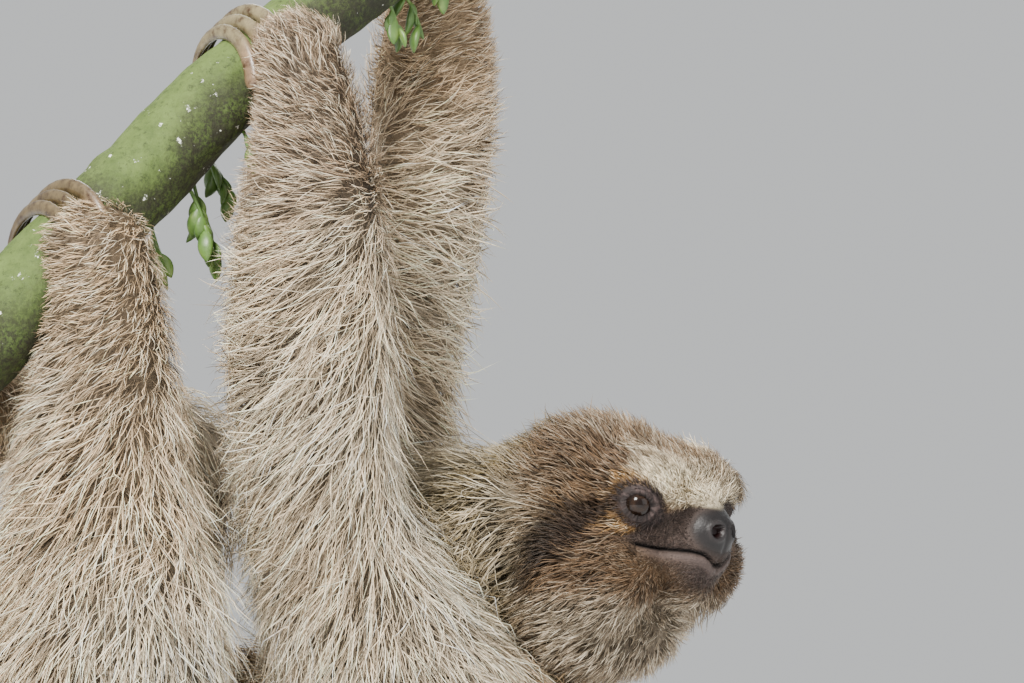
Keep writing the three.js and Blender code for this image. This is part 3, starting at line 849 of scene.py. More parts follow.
def bare_share(points):
    """One where the head shows bare skin: eye openings and lids, nose and the lips' edges."""
    local = folded_head(points)
    along, across, up, _ = eye_frame(local)
    eye = fall(np.hypot((across + 0.5 * MM) / 1.3, up) / MM, 5.2, 6.8)
    pad = fall(ellipsoid_level(local, NOSE_CENTRE, NOSE_HALF)[0], 0.0, 1.6 * MM)
    gap, there = mouth_gap(local)
    lips = bell(gap + 0.7 * MM, 1.9 * MM) * there
    return np.maximum(np.maximum(eye * (along > 0), pad), lips * 0.97)


def swept(points, normals, middle, sweep, side):
    """The directions of hair that sweeps round an upright limb from its inner edge."""
    x, _, z = (points / MM).T
    across = np.clip((x - middle) / 35, -1, 1)
    angle = np.interp(z, sweep[:, 0], sweep[:, 1]) + across * np.interp(z, sweep[:, 0], sweep[:, 2])
    angle = np.radians(angle)
    front = side * (1 - 2 * rise(normals[:, 1], -0.05, 0.45))
    around = np.stack([-normals[:, 1], normals[:, 0], np.zeros_like(x)], axis=1)
    around = around * (front * np.cos(angle))[:, None]
    around[:, 2] = np.sin(angle)
    return around


def lie_of_head(points):
    """Which way the head's hair points: back and down, and away from the eyes."""
    local = head_local(points)
    side = np.sign(local[:, 1] + 1e-9)
    x, _, z = (mirrored(local) / MM).T
    one = np.ones(len(points))
    lie = np.stack([-one, side * (0.15 + 0.4 * rise(x, 20, 40)),
                    -0.55 * rise(-z, -14, 8) + 0.1], axis=1)
    away = local - LEFT_EYE * np.stack([one, side, one], axis=1)
    reach = np.linalg.norm(away, axis=1, keepdims=True)
    return (lie + 1.6 * unit(away) * bell(reach, 13 * MM)) @ HEAD_TURN.T


def lie_of_coat(points, normals, weights):
    """Which way the hair points at each place, before it is laid along the skin."""
    flows = {name: swept(points, normals, *how) for name, how in SWEPT.items()}
    flows.update({name: points * 0 + lie for name, lie in STRAIGHT.items()})
    flows["head"] = lie_of_head(points)
    return unit(sum(weights[:, i : i + 1] * unit(flows[name])
                    for i, name in enumerate(LENGTH_NAMES)))


def laid_along(vectors, normals):
    return unit(vectors - normals * (vectors * normals).sum(1, keepdims=True))


class SkinGround:
    """The skin as triangles to plant tufts in, with what each one belongs to."""

    def __init__(self, mesh):
        mesh.calc_loop_triangles()
        corners = np.empty(len(mesh.loop_triangles) * 3, np.int64)
        mesh.loop_triangles.foreach_get("vertices", corners)
        self.corners = vertex_array(mesh)[corners.reshape(-1, 3)]
        edges = self.corners[:, 1:] - self.corners[:, :1]
        self.area = np.linalg.norm(np.cross(edges[:, 0], edges[:, 1]), axis=1) / 2
        self.middle = self.corners.mean(1)
        self.owner = skin_height(self.middle)[3].argmax(1)

    def plant(self, length, count, rng, wanted):
        """Root points spread over one length, more of them where `wanted` is larger."""
        mine = np.flatnonzero(self.owner == LENGTH_NAMES.index(length))
        share = self.area[mine] * wanted(self.middle[mine])
        chosen = rng.choice(mine, size=count, p=share / share.sum())
        a, b = rng.random((2, count))
        flip = a + b > 1
        a[flip], b[flip] = 1 - a[flip], 1 - b[flip]
        base, first, second = self.corners[chosen].transpose(1, 0, 2)
        return base + a[:, None] * (first - base) + b[:, None] * (second - base)


def length_scale(length, points, shares):
    """How long the coat is at each root, against its piece's full length."""
    if length == "head":
        return 1.0 - FACE_SHORTER * rise(folded_head(points)[:, 0] / MM, -5, 25)
    thinned = rise(of_length(shares, length), 0.62, 0.93) * (length in LIMB_NAMES)
    return 1.0 - WRIST_SHORTER * thinned


def map_place(length, roots, shares):
    """Each root's place on the unwrap of its length: along it, and round it."""
    if length == "head":
        local = unit(head_local(roots))
        along = np.arccos(np.clip(local[:, 0], -1, 1)) / math.pi
        angle = np.arctan2(local[:, 1], local[:, 2])
    else:
        body, along = LENGTHS[LENGTH_NAMES.index(length)], of_length(shares, length)
        away = body.measure(roots)[1]
        axis = unit(body.rows[-1, :3] - body.rows[0, :3])
        first = unit(np.cross(axis, (0.31, 0.94, 0.12)))
        angle = np.arctan2(away @ first, away @ np.cross(axis, first))
    return np.stack([along, angle / (2 * math.pi) + 0.5], axis=1) * 0.97 + 0.012


def tuft_paths(roots, normals, depth, flow, reach, rng, stand):
    """Knots of every tuft, from its root along the skin to its tip."""
    count = len(roots)
    loft = rng.uniform(0.45, 1.0, count) ** 0.8
    wild = rng.random(count) ** 6 * stand
    paths = [roots - normals * ROOT_SUNK]
    heading = unit(flow + normals * 0.5)
    curl = rng.normal(size=(count, 3)) * 0.16
    step = (reach / RINGS)[:, None]
    here = roots
    for knot, share in enumerate(KNOT_LIFTS, 1):
        trial = here + heading * step
        height, away, *_ = skin_height(trial)
        target = depth * share * loft + wild * reach * 0.16 * knot
        trial = trial + away * ((target - height) * 0.9)[:, None]
        heading = unit(trial - here)
        here = here + heading * step
        paths.append(here)
        swerve = rng.normal(size=(count, 3)) * 0.1 + curl
        heading = unit(laid_along(heading * 0.55 + flow * 0.45 + swerve, away))
    return np.stack(paths, axis=1)


def clumped(paths, roots, rng, pull):
    """The paths drawn toward their clump's leader, more and more toward the tips."""
    count = len(roots)
    leaders = rng.choice(count, size=max(count // CLUMP_SIZE, 1), replace=False)
    tree = kdtree.KDTree(len(leaders))
    for i, leader in enumerate(leaders):
        tree.insert(roots[leader], i)
    tree.balance()
    group = np.array([tree.find(root)[1] for root in roots])
    leader = leaders[group]
    offset = roots - roots[leader]
    share = (np.linspace(0, 1, KNOTS) ** 1.3)[None, :, None] * pull
    goal = paths[leader] + offset[:, None] * 0.35
    near = np.linalg.norm(offset, axis=1) < CLUMP_REACH
    share = share * near[:, None, None] * rng.uniform(0.3, 1.0, (count, 1, 1))
    return paths * (1 - share) + goal * share, group


def tuft_mesh(name, paths, normals, widths, colours, places):
    """One mesh of closed three-sided tufts that taper to a point."""
    count, tip = len(paths), RINGS * 3
    tangents = unit(np.gradient(paths, axis=1))
    side = unit(np.cross(tangents, normals[:, None]))
    lift = np.cross(side, tangents)
    taper = np.array(TAPER)[None, :, None] * widths[:, None, None] / 2
    ring_at, side, lift = paths[:, :RINGS], side[:, :RINGS], lift[:, :RINGS]
    corner = [ring_at + side * taper, ring_at + lift * taper * 0.9, ring_at - side * taper]
    points = np.stack(corner, axis=2).reshape(count, tip, 3)
    points = np.concatenate([points, paths[:, -1:]], axis=1)
    faces = [(0, 2, 1)]
    for ring in range(RINGS - 1):
        for k in range(3):
            a, b = ring * 3 + k, ring * 3 + (k + 1) % 3
            faces += [(a, b, b + 3), (a, b + 3, a + 3)]
    faces += [(tip - 3 + k, tip - 3 + (k + 1) % 3, tip) for k in range(3)]
    corners = (np.array(faces)[None] + np.arange(count)[:, None, None] * (tip + 1)).reshape(-1)
    mesh = bpy.data.meshes.new(name)
    mesh.vertices.add(count * (tip + 1))
    mesh.vertices.foreach_set("co", points.reshape(-1))
    mesh.loops.add(len(corners))
    mesh.loops.foreach_set("vertex_index", corners.astype(np.int32))
    mesh.polygons.add(len(corners) // 3)
    mesh.polygons.foreach_set("loop_start", np.arange(0, len(corners), 3, dtype=np.int32))
    mesh.update(calc_edges=True)
    shade_smooth(mesh)
    paint_points(mesh, "tint", colours.reshape(-1, 3))
    across = np.array([0.15, 0.5, 0.85] * RINGS + [0.5])
    along = np.append(np.repeat(np.arange(RINGS), 3), RINGS) / RINGS
    spots = places[:, None] + (np.stack([across, along * 0.9 + 0.05], axis=1) - 0.5) * PATCH
    layer = mesh.uv_layers.new(name="OFBake")
    layer.uv.foreach_set("vector", spots.reshape(-1, 2)[corners].astype(np.float32).ravel())
    return in_scene(name, mesh)


def tuft_colours(base, group, tones, rng):
    """A colour for each corner of each tuft: dark at its root, by its darker base and by painted
    shade deep in the coat, pale and varied beyond it.
    """
    spread, brown_share, brown_tone, lift, steps = tones
    count = len(base)
    clump_tone = rng.normal(1.0, 0.16, group.max() + 1)[group]
    tone = clump_tone * np.exp(rng.normal(-0.08, spread, count))
    brown = rng.random(count) < brown_share
    tone = np.where(brown, tone * brown_tone, tone)
    pale = ~brown * rise(rng.random(count), 0.5, 1.0) * rise(base.mean(1), 0.02, 0.2)
    base = base * np.clip(tone, 0.22, 1.9)[:, None]
    lifted = base + (PALE_HAIR - base) * (pale * lift)[:, None]
    # the low steps at the root are partly painted shade inside the coat
    per_knot = lifted[:, None] * np.array(steps)[None, :, None]
    rings = np.repeat(per_knot[:, :RINGS], 3, axis=1)
    return np.clip(np.concatenate([rings, per_knot[:, RINGS:]], axis=1), 0, 1)


def paints_of(settings):
    return {name: np.array(getattr(settings, name)) for name in COAT_PAINTS}


def coat_cover(name, length):
    """How closely a piece's tufts stand at each place, as a function of points."""
    def over_body(points):
        _, away, _, _, shares = skin_height(points)
        density = 1 + 0.45 * rise(-away[:, 1], -0.2, 0.5)
        if length in LIMB_NAMES:
            wrist = rise(of_length(shares, length), 0.65, 0.93)
            density = density * (1 + WRIST_DENSER * wrist)
        return density

    def over_head(points):
        share = face_share(points)
        dark = bare_patch(folded_head(points), 0.0)
        if name == "coat_muzzle":
            cover = dark
        else:
            cover = (share if name == "coat_face" else 1 - share * 0.95) * (1 - dark * 0.92)
        return cover * (1 - bare_share(points)) + 1e-9

    return over_head if length == "head" else over_body


def grow_coat(ground, plan, settings, seed):
    """One piece of the coat, planted, laid, clumped and coloured."""
    name, length, count, full, width = plan
    rng = np.random.default_rng(seed)
    on_head, is_muzzle = length == "head", name == "coat_muzzle"
    is_face = name == "coat_face" or is_muzzle
    roots = ground.plant(length, count, rng, coat_cover(name, length))
    _, normals, depth, weights, shares = skin_height(roots)
    flow = lie_of_coat(roots, normals, weights)
    swirl = np.stack([ripple(roots, 12 * MM, 31 + i) for i in range(3)], axis=1)
    stray = rng.normal(size=roots.shape) * (0.2 if on_head else 0.3)
    flow = laid_along(flow + swirl * 0.3 + stray, normals)
    scale = length_scale(length, roots, shares)
    reach = full * MM * settings.hair_length * scale
    reach = reach * rng.uniform(*LENGTH_SPREAD, count)
    thinner = np.ones(count)
    if on_head:
        local = folded_head(roots)
        x, y, z = (local / MM).T
    if is_face:
        short = rise(x, 34, 42) * fall(z, 16, 22) * fall(-z, 8, 18) * (not is_muzzle)
        thinner = 1 - 0.3 * short
        reach = reach * (1 - 0.55 * short)
        depth = np.minimum(depth, MUZZLE_DEPTH if is_muzzle else FACE_DEPTH)
    elif not on_head:
        thinner = np.sqrt(np.clip(scale, 0.4, 1))
    if on_head:
        from_eye = eye_frame(local)[3]
        reach = np.minimum(reach, np.maximum(from_eye * 0.9 - ROOM_ROUND_EYE, 1.5 * MM))
        ruff = rise(y, 12, 26) * rise(x, 18, 32) * (1 - bare_share(roots))
        ruff = ruff * rise(from_eye, 8 * MM, 13 * MM) * (not is_muzzle)
        fringe = spot(head_local(roots) / MM, *FRINGE) * (not is_muzzle)
        out = laid_along(FRINGE_LIE @ HEAD_TURN.T + 0 * roots, normals)
        flow = unit(flow + out * fringe[:, None] * 3)
        reach = np.maximum(reach, fringe * rng.uniform(*FRINGE_LENGTHS, count) * MM)
        depth = depth + fringe * FRINGE_LIFT + ruff * RUFF_LIFT * rng.random(count)
        reach = reach * (1 + 0.6 * ruff)
    paths = tuft_paths(roots, normals, depth, flow, reach, rng, 1.0 if is_face else 1.4)
    paths, group = clumped(paths, roots, rng, 0.3 if is_face else 0.5)
    widths = width * MM * settings.hair_width * rng.uniform(*WIDTH_SPREAD, count) * thinner
    colours = body_markings(roots, weights, shares, paints_of(settings))
    tones = CRISP_TONES if length in CRISP_LIMBS else SOFT_TONES
    colours = tuft_colours(colours, group, tones, rng)
    return tuft_mesh(name, paths, normals, widths, colours, map_place(length, roots, shares))


# ------------------------------------------------------------------ materials

class Finish:
    """A node-built finish: its nodes are added by short names and joined by sockets."""

    def __init__(self, name, roughness, **sockets):
        self.material = bpy.data.materials.new(name)
        self.material.use_nodes = True
        self.tree = self.material.node_tree
        self.shader = self.tree.nodes["Principled BSDF"]
        for socket, value in {"Roughness": roughness, **sockets}.items():
            self.shader.inputs[socket.replace("_", " ")].default_value = value

    def node(self, kind, **settings):
        node = self.tree.nodes.new("ShaderNode" + kind)
        for key, value in settings.items():
            if hasattr(node, key):
                setattr(node, key, value)
            else:
                node.inputs[key.replace("_", " ")].default_value = value
        return node

    def join(self, source, target):
        self.tree.links.new(source, target)

    def place(self, scale=(1, 1, 1)):
        """Object coordinates, stretched."""
        mapping = self.node("Mapping", Scale=scale)
        self.join(self.node("TexCoord").outputs["Object"], mapping.inputs["Vector"])
        return mapping.outputs["Vector"]

    def noise(self, scale, detail=4, roughness=0.55, stretch=(1, 1, 1)):
        node = self.node("TexNoise", Scale=scale, Detail=detail, Roughness=roughness)
        self.join(self.place(stretch), node.inputs["Vector"])
        return node.outputs["Fac"]

    def ramp(self, value, *stops):
        """A colour for each share of a value, from (share, colour) stops."""
        node = self.node("ValToRGB")
        elements = node.color_ramp.elements
        while len(elements) < len(stops):
            elements.new(0.5)
        for element, (share, colour) in zip(elements, stops):
            element.position = share
            element.color = (*np.broadcast_to(colour, 3), 1.0)
        self.join(value, node.inputs["Fac"])
        return node.outputs["Color"]

    def blend(self, kind, share, first, second):
        node = self.node("Mix", data_type="RGBA", blend_type=kind)
        for socket, value in ((0, share), (6, first), (7, second)):
            if hasattr(value, "is_linked"):
                self.join(value, node.inputs[socket])
            elif np.isscalar(value):
                node.inputs[socket].default_value = value
            else:
                node.inputs[socket].default_value = (*value, 1.0)
        return node.outputs[2]

    def spread(self, value, low, high):
        node = self.node("MapRange", To_Min=low, To_Max=high)
        self.join(value, node.inputs["Value"])
        return node.outputs["Result"]

    def tint(self, name="tint"):
        return self.node("Attribute", attribute_name=name).outputs["Color"]

    def bump(self, height, distance, strength, under=None):
        node = self.node("Bump", Strength=strength, Distance=distance)
        self.join(height, node.inputs["Height"])
        if under is not None:
            self.join(under, node.inputs["Normal"])
        return node.outputs["Normal"]

    def give(self, **outputs):
        for socket, value in outputs.items():
            self.join(value, self.shader.inputs[socket.replace("_", " ")])
        return self.material


def grained(name, roughness, tones, gloss=None, relief=None, tinted=True, cells=None, **sockets):
    """A finish whose tone, roughness and relief each follow a fine grain.

    Tones are a noise and the ramp's stops, gloss is a noise and its least and most roughness,
    and relief is a noise, or None for `cells` of the given scale, its depth and its strength.
    """
    f = Finish(name, roughness, **sockets)
    tone = f.ramp(f.noise(*tones[0]), *tones[1:])
    given = {"Base_Color": f.blend("MULTIPLY", 1.0, f.tint(), tone) if tinted else tone}
    if gloss:
        given["Roughness"] = f.spread(f.noise(*gloss[0]), *gloss[1:])
    if relief:
        if cells:
            grain = f.node("TexVoronoi", Scale=cells, feature="F1")
            f.join(f.place(), grain.inputs["Vector"])
            height = grain.outputs["Distance"]
        else:
            height = f.noise(*relief[0])
        given["Normal"] = f.bump(height, *relief[1:])
    return f.give(**given)


def coat_finish():
    return grained("coat hair", 0.56, ((700, 2), (0.3, 0.72), (0.7, 1.2)),
                   ((300, 2), 0.48, 0.68), Specular_IOR_Level=0.32)


def skin_finish():
    return grained("skin under the coat", 0.7, ((1500, 3), (0.3, 0.7), (0.7, 1.18)),
                   ((800,), 0.6, 0.85), ((2600, 2, 0.55, (0.35, 1, 1)), 0.4 * MM, 0.7),
                   Specular_IOR_Level=0.3)


def nose_finish():
    return grained("nose leather", 0.5, ((900,), (0.3, 0.8), (0.7, 1.15)),
                   ((1200,), 0.4, 0.6), (None, 0.2 * MM, 0.35), cells=1300.0,
                   Coat_Weight=0.06, Coat_Roughness=0.3, Specular_IOR_Level=0.26)


def eye_finish():
    return grained("eye gloss", 0.12, ((2200, 3), (0.3, 0.7), (0.75, 1.35)),
                   Coat_Weight=0.3, Coat_Roughness=0.02, Specular_IOR_Level=0.1)


def claw_finish():
    return grained("claw horn", 0.34, ((210, 7, 0.68), (0.34, paint(120, 84, 52)), (0.5, 0.78),
                                       (0.66, 1.15)),
                   ((500,), 0.28, 0.5), ((1500, 3, 0.55, (1, 1, 0.25)), 0.2 * MM, 0.45),
                   Coat_Weight=0.3, Coat_Roughness=0.22)


def leaf_finish():
    return grained("small green leaves", 0.42, ((120, 4), (0.3, paint(56, 84, 34)),
                                                (0.55, paint(80, 110, 48)),
                                                (0.75, paint(112, 134, 66))),
                   ((300,), 0.34, 0.55), ((500,), 0.3 * MM, 0.4), tinted=False)


def wood_finish(name, colour):
    colour = np.array(colour)
    grain = (40, 8, 0.6, (1, 14, 14))
    return grained(name, 0.5, (grain, (0.3, colour * 0.7), (0.5, colour), (0.72, colour * 1.35)),
                   (grain, 0.42, 0.62), (grain, 0.3 * MM, 0.3), tinted=False,
                   Coat_Weight=0.15, Coat_Roughness=0.35)


def steel_finish():
    lines = (500, 3, 0.55, (1, 1, 0.05))
    return grained("brushed rod steel", 0.32,
                   (lines, (0.3, paint(138, 138, 140)), (0.7, paint(176, 176, 178))),
                   (lines, 0.24, 0.42), (lines, 0.05 * MM, 0.3), tinted=False, Metallic=1.0)


def floor_finish():
    return grained("pale floor", 0.9, ((3, 3), (0.3, 0.70), (0.7, 0.74)), tinted=False)


def bark_finish(settings):
    """Mossy green, blotched and stippled dark beneath, with pale specks of lichen."""
    f = Finish("mossy bark", 0.8, Specular_IOR_Level=0.35)
    moss, lichen, dark = (np.array(c) for c in (settings.moss, settings.lichen, settings.hollow))
    under = f.tint("under")
    base = f.ramp(f.noise(60, 10, 0.8), (0.3, moss * 0.75), (0.48, (moss + lichen) / 2),
                  (0.64, lichen), (0.78, lichen * 1.15))
    base = f.blend("MULTIPLY", 1.0, base, f.tint())
    blotch = f.ramp(f.noise(75, 8, 0.78), (0.42, 0.0), (0.56, 1.0))
    base = f.blend("MIX", f.blend("MULTIPLY", 1.0, blotch, under), base, dark * 1.4)
    mottle = f.ramp(f.noise(330, 9, 0.85), (0.36, 0.25), (0.47, 1.0))
    base = f.blend("MULTIPLY", 1.0, base, mottle)
    stipple = f.ramp(f.noise(620, 8, 0.8), (0.485, 0.0), (0.53, 1.0))
    base = f.blend("MIX", f.blend("MULTIPLY", 1.0, stipple, under), base, dark)
    specks = f.ramp(f.noise(150, 8, 0.7), (0.64, 0.0), (0.67, 1.0))
    base = f.blend("MIX", specks, base, paint(222, 224, 214))
    fine = f.noise(420, 6, 0.7)
    coarse = f.bump(f.noise(90, 6), 1.6 * MM, 0.7)
    return f.give(Base_Color=base, Roughness=f.spread(fine, 0.6, 0.92),
                  Normal=f.bump(fine, 0.7 * MM, 0.75, coarse))


# ------------------------------------------------------------------ claws and eyes

# Each hand and foot: where its line crosses the branch (x in mm), and which way its palm faces.
LIMBS = {
    "hand_right": (-13, (0.64, -0.77, 0)), "hand_left": (63, (-0.1, 0.995, 0)),
    "foot_right": (-80, (0.64, -0.77, 0)), "foot_left": (-133, (-0.1, 0.995, 0)),
}
CLAW_SPACING = 8.4
CLAW_TIP_SHARE = 0.6
CLAW_ARC_RATIO = 1.42
CLAW_LIFT = (0.14, math.radians(70))
CLAW_ANGLES = (math.radians(12), math.radians(172))
CLAW_RADII = (3.9, 0.9)
CLAW_WIDTH_SHARE = 0.6
CLAW_ROOT = paint(120, 96, 72)
CLAW_PAINTS = {"hand": (paint(118, 107, 78), paint(78, 60, 42)),  # along its back, and its tip
               "foot": (paint(92, 78, 52), paint(64, 48, 34))}
PUPIL, IRIS, EYE_RIM = (paint(*colour) for colour in ((20, 13, 10), (36, 25, 18), (18, 11, 8)))
CORNEA = 1.05  # how far the eye bulges in front, over its radius


def branch_grip(x):
    """Centre, direction and radius of the branch where its line passes x (mm)."""
    rows = smooth_rows(BRANCH, 40)
    i = int(np.abs(rows[:, 0] - x).argmin())
    return rows[i, :3], unit(rows[i + 1, :3] - rows[i - 1, :3]), rows[i, 3]


def claw_rows(limb, rank, count=18):
    """Centre line and radius of one claw, in metres, from its root to its tip."""
    x, palm = LIMBS[limb]
    centre, along, radius = branch_grip(x)
    palm, up = unit(np.array(palm)), np.array((0, 0, 1.0))
    share = np.linspace(0, 1, count)
    angle = CLAW_ANGLES[0] + (CLAW_ANGLES[1] - CLAW_ANGLES[0]) * share
    lift, lift_angle = CLAW_LIFT
    aside = np.cos(angle) * CLAW_ARC_RATIO * radius + math.cos(lift_angle) * lift * radius
    high = np.sin(angle) * CLAW_ARC_RATIO * radius + math.sin(lift_angle) * lift * radius
    spread = rank * CLAW_SPACING * (1 - CLAW_TIP_SHARE * share)
    points = (centre + spread[:, None] * along + aside[:, None] * palm + high[:, None] * up)
    width = CLAW_RADII[0] + (CLAW_RADII[1] - CLAW_RADII[0]) * share**1.6
    return np.column_stack([points, width]) * MM, np.cross(palm, up)


def build_claw(limb, index, material):
    rows, across = claw_rows(limb, index - 1)
    points, faces = tube_mesh(rows, 16, across=across, flatten=CLAW_WIDTH_SHARE, domes=3)
    piece = mesh_object(f"horn_{limb}_{index + 1}", points, faces)
    nearest = np.linalg.norm(points[:, None] - rows[None, :, :3], axis=2).argmin(1)
    share = nearest / (len(rows) - 1)
    back, tip = CLAW_PAINTS[limb[:4]]
    colour = mix(CLAW_ROOT, back, rise(share, 0.12, 0.3))
    colour = mix(colour, tip, rise(share, 0.6, 1.0) * 0.8)
    paint_points(piece.data, "tint", colour)
    finished(piece, "claw", [f"claw_{limb}_{index + 1}"], material)


def build_eye(side, material):
    """A glossy ball with a dark pupil, a brown iris and a darker rim, looking out of its lids."""
    turn = np.array((1, 1 if side == "left" else -1, 1))
    gaze, across, up = GAZE * turn, GAZE_ACROSS * turn, GAZE_UP * turn
    middle = EYE_MIDDLE * turn
    angles = np.linspace(0, math.pi, 34)[1:-1]
    turns = np.linspace(0, 2 * math.pi, 40, endpoint=False)
    bulge = 1 + (CORNEA - 1) * np.exp(-((angles / 0.62) ** 4))
    rings = (np.cos(angles)[:, None, None] * gaze
             + np.sin(angles)[:, None, None] * (np.cos(turns)[:, None] * across
                                                + np.sin(turns)[:, None] * up))
    rings = middle + rings * (EYE_RADIUS * bulge)[:, None, None]
    points, faces = rings_mesh(rings, middle + gaze * EYE_RADIUS * CORNEA,
                               middle - gaze * EYE_RADIUS)
    piece = mesh_object("eyeball_" + side, head_world(points), faces)
    face_outwards(piece.data)
    turned = np.arccos(np.clip(unit(points - middle) @ gaze, -1, 1))
    colour = mix(PUPIL, IRIS, rise(turned, 0.2, 0.4))
    paint_points(piece.data, "tint", mix(colour, EYE_RIM, rise(turned, 0.5, 0.75)))
    finished(piece, "eye", ["eye_" + side], material)


# ------------------------------------------------------------------ branch

BARK_RINGS = 230
BARK_SIDES = 72
CUT_WOOD = paint(226, 196, 150) * 1.2
# Small plants: (x along the branch in mm, turn round it in degrees, stalk in mm, leaves).
PLANTS = [
    (-36, 262, 30, 11), (-40, 285, 24, 9), (-30, 240, 20, 8), (-52, 268, 16, 6),
    (-20, 300, 13, 5), (38, 285, 12, 6), (46, 262, 16, 6), (56, 280, 10, 4), (-150, 262, 14, 5),
    (-162, 250, 9, 4), (4, 262, 9, 3), (90, 262, 14, 5),
]
STALK_STEPS = 8
STALK_RADII = (0.9, 0.45)
LEAF_LENGTH, LEAF_WIDTH, LEAF_BEND = 13 * MM, 6.4 * MM, 0.9 * MM
SMALLEST_LEAF = 0.55


def knotted(count, angles):
    """Low knots along and round the branch, as shares of its radius."""
    t = np.linspace(0, 1, count)[:, None]
    return 1 + 0.035 * (np.sin(23 * t + 2 * angles) + 0.6 * np.sin(41 * t - 3 * angles))


def build_branch(material):
    """The bark: paler above, blotched and dark beneath, with bare wood at its cut ends."""
    rows = smooth_rows(BRANCH, 38) * MM
    rows = rows[np.linspace(0, len(rows) - 1, BARK_RINGS).astype(int)]
    points, faces = tube_mesh(rows, BARK_SIDES, domes=0, shape=knotted)
    bark, centres = points[1:-1], np.repeat(rows[:, :3], BARK_SIDES, axis=0)
    outward = unit(bark - centres)
    rough = 0.5 * ripple(bark, 14 * MM, 41) + 0.3 * ripple(bark, 5 * MM, 42)
    warts = np.clip(ripple(bark, 8 * MM, 43) - 0.75, 0, 1) * 1.6
    points[1:-1] = bark + outward * ((rough + warts) * MM)[:, None]
    piece = mesh_object("mossy_branch", points, faces)
    upward = np.zeros(len(points))
    upward[1:-1] = unit(points[1:-1] - centres)[:, 2]
    under = rise(ripple(points, 22 * MM, 44) * 0.5 - upward, -0.65, 0.35)
    paint_points(piece.data, "under", np.repeat(under[:, None], 3, axis=1))
    colour = np.ones((len(points), 3)) * (1.0 - 0.3 * under[:, None])
    colour[[0, -1]] = CUT_WOOD
    paint_points(piece.data, "tint", colour)
    for polygon in piece.data.polygons:
        if 0 in polygon.vertices or len(points) - 1 in polygon.vertices:
            polygon.use_smooth = False
    finished(piece, "bark", ["branch"], material)


def stalk_rows(x, turn, reach, rng):
    """A thin stalk that grows out of the bark and hangs, as centre-line rows in metres."""
    centre, along, radius = branch_grip(x)
    side = unit(np.cross(along, (0, 0, 1.0)))
    angle = math.radians(turn)
    out = side * math.cos(angle) + np.cross(side, along) * math.sin(angle)
    points = [centre + out * (radius - 1.5)]
    heading = unit(out + rng.normal(size=3) * 0.25)
    for _ in range(STALK_STEPS):
        heading = unit(heading + np.array((0.12, 0, -0.35)) + rng.normal(size=3) * 0.1)
        points.append(points[-1] + heading * reach / STALK_STEPS)
    return np.column_stack([points, np.linspace(*STALK_RADII, STALK_STEPS + 1)]) * MM


def leaf_mesh():
    """One plump oval leaf that hangs from its stem end at the origin."""
    share = np.linspace(0.04, 0.97, 9)
    profile = np.sin(share * math.pi) ** 0.7
    angles = np.linspace(0, 2 * math.pi, 10, endpoint=False)
    rings = np.stack([
        np.stack([np.cos(angles) * LEAF_WIDTH / 2 * p,
                  np.sin(angles) * LEAF_WIDTH * 0.26 * p + LEAF_BEND * math.sin(s * math.pi),
                  np.full(10, -s * LEAF_LENGTH)], axis=1)
        for s, p in zip(share, profile)])
    return rings_mesh(rings, (0, 0, 0), (0, 0, -LEAF_LENGTH))


def leaves_tree(leaf, material):
    """Puts a leaf, turned and sized at random, on every point of the mesh it is given."""
    tree = bpy.data.node_groups.new("leaves on stalks", "GeometryNodeTree")
    sockets = {name: tree.interface.new_socket(
        name, in_out="INPUT", socket_type="NodeSocket" + kind).identifier
        for name, kind in (("Geometry", "Geometry"), ("Smallest", "Float"), ("Largest", "Float"),
                           ("Seed", "Int"))}
    tree.interface.new_socket("Geometry", in_out="OUTPUT", socket_type="NodeSocketGeometry")
    given, out, shape, put, turn, size, realize, dress = (tree.nodes.new(kind) for kind in (
        "NodeGroupInput", "NodeGroupOutput", "GeometryNodeObjectInfo",
        "GeometryNodeInstanceOnPoints", "FunctionNodeRandomValue", "FunctionNodeRandomValue",
        "GeometryNodeRealizeInstances", "GeometryNodeSetMaterial"))
    shape.inputs["Object"].default_value = leaf
    dress.inputs["Material"].default_value = material
    turn.data_type = "FLOAT_VECTOR"
    turn.inputs[0].default_value = (-0.5, -0.5, -math.pi)
    turn.inputs[1].default_value = (0.5, 0.5, math.pi)
    for source, output, target, entry in (
            (given, "Geometry", put, "Points"), (shape, "Geometry", put, "Instance"),
            (given, "Smallest", size, 2), (given, "Largest", size, 3),
            (given, "Seed", size, "Seed"), (given, "Seed", turn, "Seed"),
            (turn, 0, put, "Rotation"), (size, 1, put, "Scale"),
            (put, "Instances", realize, "Geometry"), (realize, "Geometry", dress, "Geometry"),
            (dress, "Geometry", out, "Geometry")):
        tree.links.new(source.outputs[output], target.inputs[entry])
    return tree, sockets


def build_plants(settings, material):
    rng = np.random.default_rng(SEED + 7)
    stalks, tips = [], []
    for x, turn, reach, leaf_count in PLANTS:
        rows = stalk_rows(x, turn, reach, rng)
        stalks.append(tube_mesh(rows, 6, domes=1))
        chosen = np.linspace(2, STALK_STEPS, leaf_count).round().astype(int)
        tips.extend(rows[chosen, :3])
    finished(mesh_object("plant_stalks", *joined(stalks)), "bark", [], material)
    leaf = mesh_object("one_leaf", *leaf_mesh())
    leaf.hide_render = True
    leaves = mesh_object("plant_leaves", tips, [])
    modifier = leaves.modifiers.new("leaves", "NODES")
    modifier.node_group, sockets = leaves_tree(leaf, material)
    modifier[sockets["Smallest"]] = SMALLEST_LEAF
    modifier[sockets["Largest"]] = settings.leaf_size
    modifier[sockets["Seed"]] = SEED
    evaluated(leaves, modifier)
    shade_smooth(leaves.data)
    bpy.data.objects.remove(leaf)
    finished(leaves, "bark", [])


# ------------------------------------------------------------------ stand

BASE_SIZE = (430, 260, 16)
BASE_CORNER = 36
BASE_BEVEL = 4
ROD_RADIUS = 6
